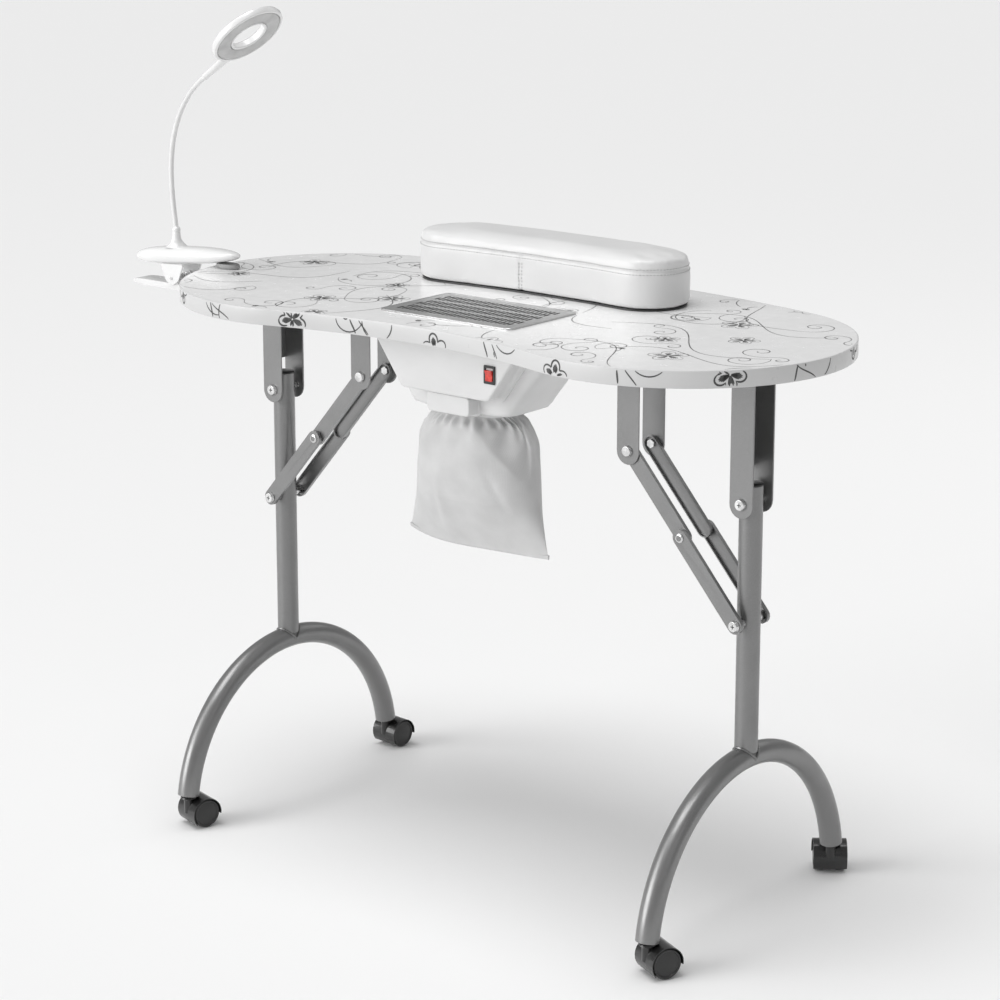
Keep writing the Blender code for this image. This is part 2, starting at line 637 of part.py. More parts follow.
# ---------------------------------------------------------------- clip lamp
def clip_lamp():
    """Spring clip on the left end, bendable arm and ring head."""
    bpy.ops.mesh.primitive_uv_sphere_add(
        segments=20, ring_count=10, radius=1.0, location=(CLIP_CENTRE[0], LAMP_Y, CLIP_CENTRE[1]),
        rotation=(0, -math.radians(CLIP_TILT), 0),
    )
    shell = bpy.context.object
    shell.scale = CLIP_HALF
    apply_scale(shell)
    place(shell, "clip_upper_jaw", FRAME, LAMP_WHITE)
    neck = rod(0.0100, (ARM_BASE[0], LAMP_Y, 0.722), (ARM_BASE[0], LAMP_Y, ARM_BASE[1] - BEND_GAP), 20, tip=0.0052)
    pad = box((-0.452, LAMP_Y - 0.009, TOP_Z + GAP), (-0.438, LAMP_Y + 0.009, 0.716))
    cut(shell, neck, pad, union=True)
    px, pz = CLIP_PIN
    cheek = arc((px, pz - 0.001), 0.0085, math.pi * 1.15, math.pi * 1.85, 6)
    cheek += [(px + 0.022, 0.709), (px - 0.020, 0.704)]
    for s in (-1, 1):
        cut(shell, flat([cheek], 0.0022, (0, LAMP_Y + s * 0.0171, 0), upright=True), union=True)
    cut(shell, rod(0.0023, (px, LAMP_Y - 0.03, pz), (px, LAMP_Y + 0.03, pz), 16))

    jaw_axis = empty("clip_jaw_axis", (px, LAMP_Y, pz), FRAME)
    floor = TOP_Z - TOP_THICK
    lever = [(-0.076, -0.013), (-0.074, -0.0085), (-0.060, -0.0075), (0.072, -0.0075), (0.080, -0.0035),
             (0.080, floor - GAP - pz), (0.088, floor - GAP - pz), (0.090, -0.006), (0.084, -0.013),
             (0.060, -0.0155), (-0.060, -0.0155)]
    jaw = place(flat([lever], 0.030, upright=True), "clip_lower_jaw", jaw_axis, LAMP_WHITE)
    for s in (-1, 1):
        ear = flat([[(-0.009, -0.009), (0.009, -0.009)] + arc((0, 0), 0.006, 0, math.pi, 8)], 0.002,
                   (0, s * 0.0140, 0), upright=True)
        cut(jaw, ear, union=True)
    cut(jaw, rod(0.0023, (0, -0.03, 0), (0, 0.03, 0), 16))
    pin = rod(0.0020, (px, LAMP_Y - 0.0195, pz), (px, LAMP_Y + 0.0195, pz), 16)
    place(pin, "clip_pin", FRAME, CHROME)

    turns, per_turn, coil = 4, 8, 0.0042
    curve = bpy.data.curves.new("spring", "CURVE")
    curve.dimensions = "3D"
    curve.bevel_depth = 0.0007
    curve.bevel_resolution = 1
    curve.use_fill_caps = True
    spline = curve.splines.new("POLY")
    spline.points.add(turns * per_turn)
    for index, point in enumerate(spline.points):
        a = 2 * math.pi * index / per_turn
        along = (index / (turns * per_turn) - 0.5) * 0.0200
        point.co = (coil * math.cos(a), along, coil * math.sin(a), 1)
    spring = bpy.data.objects.new("spring", curve)
    bpy.context.scene.collection.objects.link(spring)
    spring.location = (px, LAMP_Y, pz)
    place(as_mesh(spring), "clip_spring", FRAME, CHROME)

    arm_axis = empty("lamp_arm_axis", (ARM_BASE[0], LAMP_Y, ARM_BASE[1]), FRAME)
    curve = bpy.data.curves.new("arm", "CURVE")
    curve.dimensions = "3D"
    curve.bevel_depth = 0.0035
    curve.bevel_resolution = 2
    curve.use_fill_caps = True
    curve.resolution_u = 6
    route = [(ARM_BASE[0], ARM_BASE[1] + BEND_GAP), (-0.540, 0.785), (-0.541, 0.830), (-0.534, 0.874),
             (-0.514, 0.915), (HEAD_PIVOT[0] - BEND_GAP, HEAD_PIVOT[1] - BEND_GAP)]
    spline = curve.splines.new("BEZIER")
    spline.bezier_points.add(len(route) - 1)
    for point, (x, z) in zip(spline.bezier_points, route):
        point.co = (x - ARM_BASE[0], 0, z - ARM_BASE[1])
        point.handle_left_type = "AUTO"
        point.handle_right_type = "AUTO"
    arm = bpy.data.objects.new("arm", curve)
    bpy.context.scene.collection.objects.link(arm)
    place(as_mesh(arm), "lamp_gooseneck", arm_axis, LAMP_WHITE)

    head_axis = empty(
        "lamp_head_axis", (HEAD_PIVOT[0] - ARM_BASE[0], 0, HEAD_PIVOT[1] - ARM_BASE[1]), arm_axis
    )
    tilt = math.radians(HEAD_TILT)
    out = Vector((HEAD_CENTRE[0] - HEAD_PIVOT[0], 0, HEAD_CENTRE[1] - HEAD_PIVOT[1]))
    ring = flat([arc((0, 0), HEAD_RADIUS, 0, 2 * math.pi, 32)[:-1], arc((0, 0), HEAD_HOLE, 0, 2 * math.pi, 20)[:-1]],
                0.011, out)
    ring.rotation_euler = (0, -tilt, 0)
    place(ring, "lamp_head", head_axis, LAMP_WHITE)
    along = Vector((math.cos(tilt), 0, math.sin(tilt)))
    rim = out - along * (HEAD_RADIUS - 0.004)
    start = rim.normalized() * BEND_GAP
    cut(ring, rod(0.0040, start, rim, 20, tip=0.0095), union=True)
    led_side = Vector((math.sin(tilt), 0, -math.cos(tilt)))
    recess = flat([arc((0, 0), 0.0455, 0, 2 * math.pi, 28)[:-1], arc((0, 0), 0.0265, 0, 2 * math.pi, 20)[:-1]],
                  0.004, out + led_side * 0.0055)
    recess.rotation_euler = (0, -tilt, 0)
    cut(ring, recess)
    glow = flat([arc((0, 0), 0.0452, 0, 2 * math.pi, 28)[:-1], arc((0, 0), 0.0268, 0, 2 * math.pi, 20)[:-1]],
                0.0014, out + led_side * 0.0046)
    glow.rotation_euler = (0, -tilt, 0)
    place(glow, "lamp_diffuser", head_axis, DIFFUSER)


# ---------------------------------------------------------------- arm cushion
def arm_cushion():
    """Padded hand rest on a thin dark base board, lying on the worktop."""
    rest = empty("cushion_rest", (CUSHION_X, CUSHION_Y, TOP_Z + GAP), FRAME)
    shape = (0.148, 0.054, 0.062, -0.049)
    base = 0.003
    place(flat([kidney(*shape, inset=0.002, fine=0.5)], base, (0, 0, base / 2)), "cushion_base", rest, BLACK)
    height = CUSHION_HEIGHT
    pad = flat([kidney(*shape, fine=0.5)], height, (0, 0, base + GAP + height / 2))
    place(pad, "arm_cushion", rest, LEATHER)
    soften(pad, 0.010, 2, 60)


worktop()
vent_grille()
dust_collector()
power_controls()
dust_bag()
for side in (-1, 1):
    bracket_name = f"{SIDE_NAMES[side]}_leg_bracket"
    u_bracket(bracket_name, side * COLUMN_X, PIVOT_Z[side], LEG_PLATE_Y, 0.0041)
    leg_axis = leg(side)
    brace(side, leg_axis)
    for end_name, end_side in (("front", -1), ("back", 1)):
        castor(f"{end_name}_{SIDE_NAMES[side]}", leg_axis, side, end_side)
clip_lamp()
arm_cushion()
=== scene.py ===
import json
import math

import bmesh
import bpy
import numpy as np
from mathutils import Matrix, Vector
from mathutils.bvhtree import BVHTree


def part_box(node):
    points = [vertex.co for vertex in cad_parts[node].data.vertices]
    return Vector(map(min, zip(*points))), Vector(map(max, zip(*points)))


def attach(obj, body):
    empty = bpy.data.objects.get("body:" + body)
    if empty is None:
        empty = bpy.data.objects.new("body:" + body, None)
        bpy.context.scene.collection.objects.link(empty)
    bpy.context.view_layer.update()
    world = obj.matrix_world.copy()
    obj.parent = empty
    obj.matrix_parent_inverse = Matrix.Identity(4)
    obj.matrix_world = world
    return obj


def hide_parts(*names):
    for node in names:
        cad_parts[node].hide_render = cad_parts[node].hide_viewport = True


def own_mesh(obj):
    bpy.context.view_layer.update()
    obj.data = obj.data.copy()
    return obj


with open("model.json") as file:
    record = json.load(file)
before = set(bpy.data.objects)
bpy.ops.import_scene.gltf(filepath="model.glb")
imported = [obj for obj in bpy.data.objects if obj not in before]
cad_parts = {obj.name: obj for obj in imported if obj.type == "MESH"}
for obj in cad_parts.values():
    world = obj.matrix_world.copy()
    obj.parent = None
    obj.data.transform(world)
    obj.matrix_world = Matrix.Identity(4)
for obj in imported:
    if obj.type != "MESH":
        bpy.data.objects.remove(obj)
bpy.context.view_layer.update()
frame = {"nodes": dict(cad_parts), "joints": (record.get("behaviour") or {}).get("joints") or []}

# ---------------------------------------------------------------- board
# The worktop is a 20 mm particle board, sawn to a kidney outline of four tangent arcs
# and pressed with a hard glossy white laminate. A rectangle is cut out for the grille.

low, high = (np.array(corner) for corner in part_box("edge_band"))
TABLE = np.array([(low[0] + high[0]) / 2, high[1] - 0.235, 0.0])
BOARD_TOP, BOARD_UNDER = high[2], low[2]
END_X, END_R = 0.265, 0.205
BACK_Y, WAIST_Y = 0.235, -0.166
GRILLE_Y = -0.047


def sweep(centre, radius, begin, end, count):
    """Points of an arc from angle begin up to, but without, angle end."""
    angles = np.linspace(begin, end, count, endpoint=False)
    return np.stack([centre[0] + radius * np.cos(angles), centre[1] + radius * np.sin(angles)], 1)


def full_turn(count):
    """Evenly spaced angles once round, without the last one."""
    return np.linspace(0, 2 * math.pi, count, endpoint=False)


def level(outline, z):
    """A flat outline lifted to height z."""
    return np.c_[outline, np.full(len(outline), z)]


def ends_of(node):
    """The two far corners of a CAD node's box."""
    return (np.array(corner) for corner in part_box(node))


def kidney(end_x, end_r, back, waist, inset=0.0, count=60):
    """Two end arcs at (+-end_x, 0), a back arc through (0, back) and a hollow front arc through
    (0, waist), all moved inwards by inset."""
    back_r = (end_x**2 + back**2 - end_r**2) / (2 * (back - end_r))
    lip = waist + end_r
    depth = (end_x**2 - lip**2) / (2 * lip)
    front_r = waist + depth
    lean = math.atan2(back_r - back, end_x)
    dip = math.atan2(-depth, -end_x)
    rise = math.atan2(depth, end_x)
    end = end_r - inset
    return np.concatenate([
        sweep((0, back - back_r), back_r - inset, math.pi - lean, lean, count),
        sweep((end_x, 0), end, lean, dip, count),
        sweep((0, -depth), front_r + inset, rise, math.pi - rise, count),
        sweep((-end_x, 0), end, -math.pi - dip, -math.pi - lean, count),
    ])


def shells(name, rings, material, body, stands_for=(), closed=False, sharp=35, smooth=True):
    """One piece from closed shells. Each shell is an array of rings of points: quads join ring to
    ring, and flat faces close the first and last ring, unless closed joins those two as well."""
    points, faces, base = [], [], 0
    for ring in rings:
        rows, columns = ring.shape[:2]
        index = np.arange(rows * columns).reshape(rows, columns) + base
        beside = np.roll(index, -1, 1)
        upper, lower = index, np.roll(index, -1, 0)
        after, below = beside, np.roll(beside, -1, 0)
        stop = rows if closed else rows - 1
        quads = np.stack([upper[:stop], after[:stop], below[:stop], lower[:stop]], 2)
        faces += quads.reshape(-1, 4).tolist()
        if not closed:
            faces += [index[0].tolist(), index[-1].tolist()]
        points.append(ring.reshape(-1, 3))
        base += rows * columns
    mesh = bpy.data.meshes.new(name)
    mesh.from_pydata(np.concatenate(points).tolist(), [], faces)
    work = bmesh.new()
    work.from_mesh(mesh)
    bmesh.ops.recalc_face_normals(work, faces=work.faces)
    work.to_mesh(mesh)
    work.free()
    piece = bpy.data.objects.new(name, mesh)
    bpy.context.scene.collection.objects.link(piece)
    mesh.materials.append(material)
    if smooth:
        mesh.shade_smooth()
        mesh.set_sharp_from_angle(angle=math.radians(sharp))
    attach(piece, body)
    if stands_for:
        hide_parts(*stands_for)
    return piece


def finish(name, colour, roughness, metallic=0.0, coat=0.0, sheen=0.0):
    """A Principled material; returns it with its tree, shader and object coordinates."""
    material = bpy.data.materials.new(name)
    material.use_nodes = True
    tree = material.node_tree
    shader = tree.nodes["Principled BSDF"]
    shader.inputs["Base Color"].default_value = (*colour, 1)
    shader.inputs["Roughness"].default_value = roughness
    shader.inputs["Metallic"].default_value = metallic
    shader.inputs["Coat Weight"].default_value = coat
    shader.inputs["Coat Roughness"].default_value = 0.08
    shader.inputs["Sheen Weight"].default_value = sheen
    place = tree.nodes.new("ShaderNodeTexCoord").outputs["Object"]
    return material, tree, shader, place


def noise(tree, place, scale, detail=3.0, stretch=(1, 1, 1)):
    """A noise pattern, stretched along the axes by a Mapping node."""
    mapping = tree.nodes.new("ShaderNodeMapping")
    mapping.inputs["Scale"].default_value = stretch
    pattern = tree.nodes.new("ShaderNodeTexNoise")
    pattern.inputs["Scale"].default_value = scale
    pattern.inputs["Detail"].default_value = detail
    tree.links.new(place, mapping.inputs["Vector"])
    tree.links.new(mapping.outputs["Vector"], pattern.inputs["Vector"])
    return pattern.outputs["Fac"]


def ramp(tree, value, stops):
    """A colour ramp over value; stops are (position, grey or colour)."""
    node = tree.nodes.new("ShaderNodeValToRGB")
    while len(node.color_ramp.elements) < len(stops):
        node.color_ramp.elements.new(0.5)
    for element, (position, tone) in zip(node.color_ramp.elements, stops):
        element.position = position
        element.color = (*((tone,) * 3 if isinstance(tone, float) else tone), 1)
    tree.links.new(value, node.inputs["Fac"])
    return node.outputs["Color"]


def relief(tree, shader, value, distance, strength=1.0):
    """Bump from a value, distance in metres."""
    bump = tree.nodes.new("ShaderNodeBump")
    bump.inputs["Distance"].default_value = distance
    bump.inputs["Strength"].default_value = strength
    tree.links.new(value, bump.inputs["Height"])
    previous = shader.inputs["Normal"]
    if previous.is_linked:
        tree.links.new(previous.links[0].from_socket, bump.inputs["Normal"])
    tree.links.new(bump.outputs["Normal"], shader.inputs["Normal"])


def laminate(name, tone, roughness):
    """Hard white laminate: faint clouding, a slight orange peel and fine wear in the gloss."""
    material, tree, shader, place = finish(name, (tone, tone, tone), roughness, coat=0.35)
    cloud = ramp(tree, noise(tree, place, 9), [(0.35, tone * 0.975), (0.7, tone)])
    tree.links.new(cloud, shader.inputs["Base Color"])
    wear = noise(tree, place, 60, 5)
    tree.links.new(ramp(tree, wear, [(0.3, roughness * 0.8), (0.75, roughness * 1.35)]),
                   shader.inputs["Roughness"])
    relief(tree, shader, noise(tree, place, 420, 2), 0.00002, 0.4)
    shader.inputs["Coat Roughness"].default_value = 0.15
    return material


LAMINATE = laminate("white_laminate", 0.86, 0.22)


def on_ray(outline, half_x, half_y):
    """Each outline point moved along its ray from (0, GRILLE_Y) onto a rounded rectangle there."""
    ray = outline - (0, GRILLE_Y)
    power = 14.0
    reach = (np.abs(ray[:, 0] / half_x) ** power + np.abs(ray[:, 1]
                                                          / half_y) ** power) ** (-1 / power)
    return (0, GRILLE_Y) + ray * reach[:, None]


def board():
    """The section runs from the cut-out's edge over the top, down the side and back below."""
    edge = 0.0013
    outline = kidney(END_X, END_R, BACK_Y, WAIST_Y, inset=edge)
    hole = on_ray(outline, 0.093, 0.056)
    middle = (outline + hole) / 2
    rings = []
    for flat, z in ((hole, BOARD_UNDER), (hole, BOARD_TOP), (middle, BOARD_TOP),
                    (outline, BOARD_TOP), (outline, BOARD_UNDER), (middle, BOARD_UNDER)):
        rings.append(level(flat, z) + TABLE)
    shells("board", [np.array(rings)], LAMINATE, "table", ["tabletop"],
           closed=True, sharp=30)


board()

# ---------------------------------------------------------------- edge band
# A 1 mm PVC strip is glued round the edge with hot melt and its two rims are rounded by a
# scraper. It is a little greyer than the laminate.


def edge_band():
    """Outer and inner outline joined over a rim of 0.8 mm radius; returns the outer outline."""
    rim = 0.0008
    top, under = BOARD_TOP + 0.00008, BOARD_UNDER - 0.00006
    outer = kidney(END_X, END_R, BACK_Y, WAIST_Y)
    inner = kidney(END_X, END_R, BACK_Y, WAIST_Y, inset=0.00125)
    rings = []
    for turn in np.linspace(0, math.pi / 2, 4):
        shrunk = kidney(END_X, END_R, BACK_Y, WAIST_Y, inset=rim * (1 - math.cos(turn)))
        rings.append(level(shrunk, top - rim * (1 - math.sin(turn))))
    upper = [level(inner, top)] + rings[::-1]
    lower = [ring * (1, 1, -1) + (0, 0, BOARD_TOP + BOARD_UNDER + 0.00002) for ring in rings]
    loops = np.array(upper + lower + [level(inner, under)]) + TABLE
    material = laminate("edge_band", 0.60, 0.34)
    shells("edge_strip", [loops], material, "table", ["edge_band"], closed=True,
           sharp=50)
    return outer


EDGE = edge_band()

# ---------------------------------------------------------------- printed scrolls
# The laminate's printed film carries thin grey vines: long S curves, spirals, round loops,
# five-petal blossoms with hatched hearts and small sprigs. Each line is a flat printed ribbon.


def ink(name, tone):
    """Printed grey ink under the laminate's gloss, slightly uneven in density."""
    material, tree, shader, place = finish(name, (tone, tone, tone), 0.5)
    density = ramp(tree, noise(tree, place, 70, 4), [(0.3, tone * 0.7), (0.75, tone * 1.5)])
    tree.links.new(density, shader.inputs["Base Color"])
    return material


FINE_INK = ink("fine_print", 0.15)
DARK_INK = ink("dark_print", 0.06)


def spiral(x, y, heading, size, turns, hand):
    """A log spiral that starts at (x, y) in its heading and winds into its eye."""
    t = np.linspace(0, 1, 14 + int(16 * turns))
    angle = heading - hand * math.pi / 2 + hand * 2 * math.pi * turns * t
    radius = size * np.exp(-2.1 * t)
    eye = (x - size * math.cos(heading - hand * math.pi / 2),
           y - size * math.sin(heading - hand * math.pi / 2))
    return np.stack([eye[0] + radius * np.cos(angle), eye[1] + radius * np.sin(angle)], 1)


def vine(x, y, heading, length, sway):
    """An S curve: a run of length along its heading that swings to both sides."""
    t = np.linspace(0, 1, 34)
    along = (t - 0.5) * length
    aside = sway * np.sin(2 * math.pi * t)
    c, s = math.cos(heading), math.sin(heading)
    return np.stack([x + along * c - aside * s, y + along * s + aside * c], 1)


def blossom(x, y, turn, size):
    """Five petals as one closed wavy line, five veins and a hatched heart."""
    t = np.linspace(0, 2 * math.pi, 66)
    radius = size * (0.52 + 0.48 * np.abs(np.cos(2.5 * (t - turn))) ** 0.8)
    lines = [np.stack([x + radius * np.cos(t), y + radius * np.sin(t)], 1)]
    for petal in range(5):
        for spread in (-0.30, -0.18, -0.06, 0.06, 0.18, 0.30):
            angle = turn + petal * 2 * math.pi / 5 + spread
            reach = np.linspace(0.06, 0.80 - 0.7 * abs(spread), 4) * size
            lines.append(np.stack([x + reach * math.cos(angle), y + reach * math.sin(angle)], 1))
    return lines


def sprig(x, y, heading, size):
    """A short curved stem with three leaf loops at its tip."""
    t = np.linspace(0, 1, 10)
    bend = heading + 0.9 * t
    stem = np.stack([x + size * t * np.cos(bend), y + size * t * np.sin(bend)], 1)
    lines = [stem]
    for fan in (-0.8, 0.0, 0.8):
        a = np.linspace(0, 2 * math.pi, 12)
        long, wide = 0.34 * size * (1 - np.cos(a)) / 2, 0.10 * size * np.sin(a)
        direction = bend[-1] + fan
        c, s = math.cos(direction), math.sin(direction)
        lines.append(stem[-1] + np.stack([long * c - wide * s, long * s + wide * c], 1))
    return lines


def inside(points, outline):
    """True where a point lies inside the closed outline, by counting edges crossed to its right."""
    a, b = outline, np.roll(outline, -1, 0)
    x, y = points[:, :1], points[:, 1:]
    spans = (a[:, 1] > y) != (b[:, 1] > y)
    cross = a[:, 0] + (y - a[:, 1]) / np.where(b[:, 1] == a[:, 1], 1,
                                               b[:, 1] - a[:, 1]) * (b[:, 0] - a[:, 0])
    return (spans & (x < cross)).sum(1) % 2 == 1


def ribbons(lines, width, allowed, lift):
    """Each allowed run of a line as a flat ribbon, tapered at both ends; lift places corners."""
    made = []
    for line in lines:
        keep = allowed(line)
        cuts = np.flatnonzero(np.diff(keep.astype(int))) + 1
        for run, good in zip(np.split(line, cuts), np.split(keep, cuts)):
            if not good[0] or len(run) < 3:
                continue
            along = np.gradient(run, axis=0)
            along /= np.maximum(np.linalg.norm(along, axis=1), 1e-9)[:, None]
            aside = np.stack([-along[:, 1], along[:, 0]], 1)
            t = np.linspace(0, 1, len(run))
            half = (width / 2 * (0.45 + 0.55 * np.sin(math.pi * t) ** 0.6))[:, None]
            left, right = run - aside * half, run + aside * half
            made.append(np.stack([lift(left, 0), lift(right, 0), lift(right, 1), lift(left, 1)], 1))
    return made


def scatter(count, seed):
    """Evenly spread places over the board's box, with a turn and a size factor for each."""
    k = np.arange(count) + seed
    x = (k * 0.7548777 % 1 - 0.5) * 0.94
    y = (k * 0.5698403 % 1) * 0.44 - 0.205
    return zip(x, y, k * 2.39996, 0.75 + 0.5 * (k * 0.381966 % 1))


def printed_scrolls():
    """The top's print, kept 4 mm inside the edge and clear of the grille."""
    limit = kidney(END_X, END_R, BACK_Y, WAIST_Y, inset=0.004)
    clear_x, clear_y = 0.104, 0.0675
    film, thick = 0.00003, 0.00004

    def allowed(line):
        grille = (np.abs(line[:, 0]) < clear_x) & (np.abs(line[:, 1] - GRILLE_Y) < clear_y)
        return inside(line, limit) & ~grille

    def lift(flat, up):
        return level(flat, BOARD_TOP + film + thick * up) + TABLE

    fine, bold = [], []
    for x, y, turn, size in scatter(24, 3):
        fine.append(vine(x, y, turn, 0.22 * size, 0.032 * size))
        hand = 1 if math.sin(turn * 7) > 0 else -1
        tip = fine[-1][-1]
        fine.append(spiral(tip[0], tip[1], turn + hand * 0.6, 0.026 * size, 1.6, hand))
    for x, y, turn, size in scatter(24, 40):
        hand = 1 if math.cos(turn * 5) > 0 else -1
        fine.append(spiral(x, y, turn, 0.030 * size, 1.4, hand))
        fine.append(spiral(x, y, turn + math.pi, 0.016 * size, 1.2, hand))
    for x, y, turn, size in scatter(7, 101):
        fine.append(sweep((x, y), 0.045 * size, turn, turn + 5.1, 44))
    for x, y, turn, size in scatter(12, 150):
        fine += sprig(x, y, turn, 0.018 * size)
    for x, y, turn, size in scatter(20, 211):
        bold += blossom(x, y, turn, 0.0195 * size)
    shells("vine_print", ribbons(fine, 0.0015, allowed, lift), FINE_INK, "table",
           smooth=False)
    shells("blossom_print", ribbons(bold, 0.0011, allowed, lift), FINE_INK, "table",
           smooth=False)


printed_scrolls()


def edge_print():
    """The same print, larger, wraps the edge band, so only pieces of vine and blossom show."""
    around = np.vstack([EDGE, EDGE[:1]])
    span = np.r_[0, np.cumsum(np.linalg.norm(np.diff(around, axis=0), axis=1))]
    total = span[-1]
    margin, height = 0.0011, BOARD_TOP - BOARD_UNDER

    def allowed(line):
        return (line[:, 1] > margin) & (line[:, 1] < height - margin)

    def lift(flat, up):
        s = flat[:, 0] % total
        x, y = np.interp(s, span, around[:, 0]), np.interp(s, span, around[:, 1])
        ahead = (s + 0.001) % total
        dx, dy = np.interp(ahead, span, around[:, 0]) - x, np.interp(ahead, span, around[:, 1]) - y
        size = np.hypot(dx, dy)
        out = 0.00002 + 0.0001 * up
        return np.c_[x - dy / size * out, y + dx / size * out, BOARD_UNDER + flat[:, 1]] + TABLE

    fine, bold = [], []
    places = 34
    for k in range(places):
        s = total * (k + 0.4 * math.sin(k * 2.1)) / places
        z = 0.010 + 0.014 * math.sin(k * 1.7)
        t = k * 2.39996
        if k % 3 == 0:
            bold += blossom(s, z, t, 0.019)
        elif k % 3 == 1:
            fine.append(sweep((s, z + 0.012), 0.022, t, t + 5.5, 60))
            fine.append(vine(s + 0.02, height / 2, 1.2 + 0.5 * math.sin(t), 0.08, 0.010))
        else:
            fine.append(spiral(s, z - 0.008, t, 0.026, 1.3, 1))
            bold.append(vine(s + 0.014, height / 2, 1.9 + 0.4 * math.sin(t), 0.05, 0.004))
    doubled = [np.repeat(line, 2, 0) for line in fine]
    fine = [line[:-1] * 0.5 + line[1:] * 0.5 for line in doubled]
    shells("edge_vine_print", ribbons(fine, 0.0017, allowed, lift), DARK_INK, "table",
           smooth=False)
    shells("edge_blossom_print", ribbons(bold, 0.0023, allowed, lift), DARK_INK, "table",
           smooth=False)


edge_print()

# ---------------------------------------------------------------- intake grille
# The grille is a pressed aluminium plate with three bands of short staggered slots and a
# rolled rim. Its brushed face lies on the board, over a near-black sheet of painted shade
# that darkens the view through its slots.


def brushed(name, tone, roughness, along=(1, 14, 14)):
    """Satin metal with fine brush lines that run along X."""
    material, tree, shader, place = finish(name, (tone, tone, tone), roughness, metallic=1.0)
    lines = noise(tree, place, 90, 6, along)
    tree.links.new(ramp(tree, lines, [(0.3, tone * 0.82), (0.7, tone * 1.1)]),
                   shader.inputs["Base Color"])
    tree.links.new(ramp(tree, lines, [(0.25, roughness * 0.75), (0.8, roughness * 1.3)]),
                   shader.inputs["Roughness"])
    relief(tree, shader, lines, 0.00004, 0.5)
    return material


def cut_sheet(name, outlines, bottom, top, material, body, stands_for):
    """A flat sheet with holes: filled 2D outlines made into a mesh."""
    curve = bpy.data.curves.new(name, "CURVE")
    curve.dimensions = "2D"
    curve.fill_mode = "BOTH"
    curve.extrude = (top - bottom) / 2
    for outline in outlines:
        spline = curve.splines.new("POLY")
        spline.points.add(len(outline) - 1)
        spline.points.foreach_set("co", np.c_[outline, np.zeros(len(outline)),
                                              np.ones(len(outline))].ravel())
        spline.use_cyclic_u = True
    source = bpy.data.objects.new(name, curve)
    bpy.context.scene.collection.objects.link(source)
    bpy.context.view_layer.update()
    graph = bpy.context.evaluated_depsgraph_get()
    mesh = bpy.data.meshes.new_from_object(source.evaluated_get(graph))
    bpy.data.objects.remove(source)
    work = bmesh.new()
    work.from_mesh(mesh)
    bmesh.ops.remove_doubles(work, verts=work.verts, dist=1e-6)
    bmesh.ops.dissolve_limit(work, angle_limit=0.01, verts=work.verts, edges=work.edges)
    bmesh.ops.recalc_face_normals(work, faces=work.faces)
    bmesh.ops.translate(work, verts=work.verts, vec=TABLE + (0, 0, (bottom + top) / 2))
    work.to_mesh(mesh)
    work.free()
    piece = bpy.data.objects.new(name, mesh)
    bpy.context.scene.collection.objects.link(piece)
    mesh.materials.clear()
    mesh.materials.append(material)
    mesh.shade_smooth()
    mesh.set_sharp_from_angle(angle=math.radians(32))
    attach(piece, body)
    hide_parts(*stands_for)


def rounded(half_x, half_y, radius, centre=(0.0, 0.0), count=5):
    """A rectangle's outline with round corners."""
    corners = []
    for quarter, (sx, sy) in enumerate(((1, 1), (-1, 1), (-1, -1), (1, -1))):
        middle = (centre[0] + sx * (half_x - radius), centre[1] + sy * (half_y - radius))
        begin = quarter * math.pi / 2
        corners.append(sweep(middle, radius, begin, begin + math.pi / 2 + 1e-4, count))
    return np.concatenate(corners)


def moulded(name, tone, roughness, grain=0.00003, scale=700, coat=0.0):
    """Injection-moulded plastic: fine spark-eroded grain, slight flow marks and rubbed patches."""
    colour = tone if isinstance(tone, tuple) else (tone, tone, tone)
    material, tree, shader, place = finish(name, colour, roughness, coat=coat)
    flow = noise(tree, place, 14, 3, (1, 1, 2))
    darker = tuple(c * 0.93 for c in colour)
    tree.links.new(ramp(tree, flow, [(0.3, darker), (0.7, colour)]), shader.inputs["Base Color"])
    rubbed = noise(tree, place, 45, 5)
    tree.links.new(ramp(tree, rubbed, [(0.3, roughness * 0.85), (0.8, roughness * 1.2)]),
                   shader.inputs["Roughness"])
    relief(tree, shader, noise(tree, place, scale, 2), grain, 0.5)
    return material


def block(centre, half):
    """A box as two rings, with its middle and half sizes."""
    corners = np.array([(1, 1), (-1, 1), (-1, -1), (1, -1)]) * np.array(half[:2])
    return np.array([level(corners, z) for z in (-half[2], half[2])]) + np.array(centre)


GRILLE_METAL = brushed("grille_metal", 0.58, 0.36)


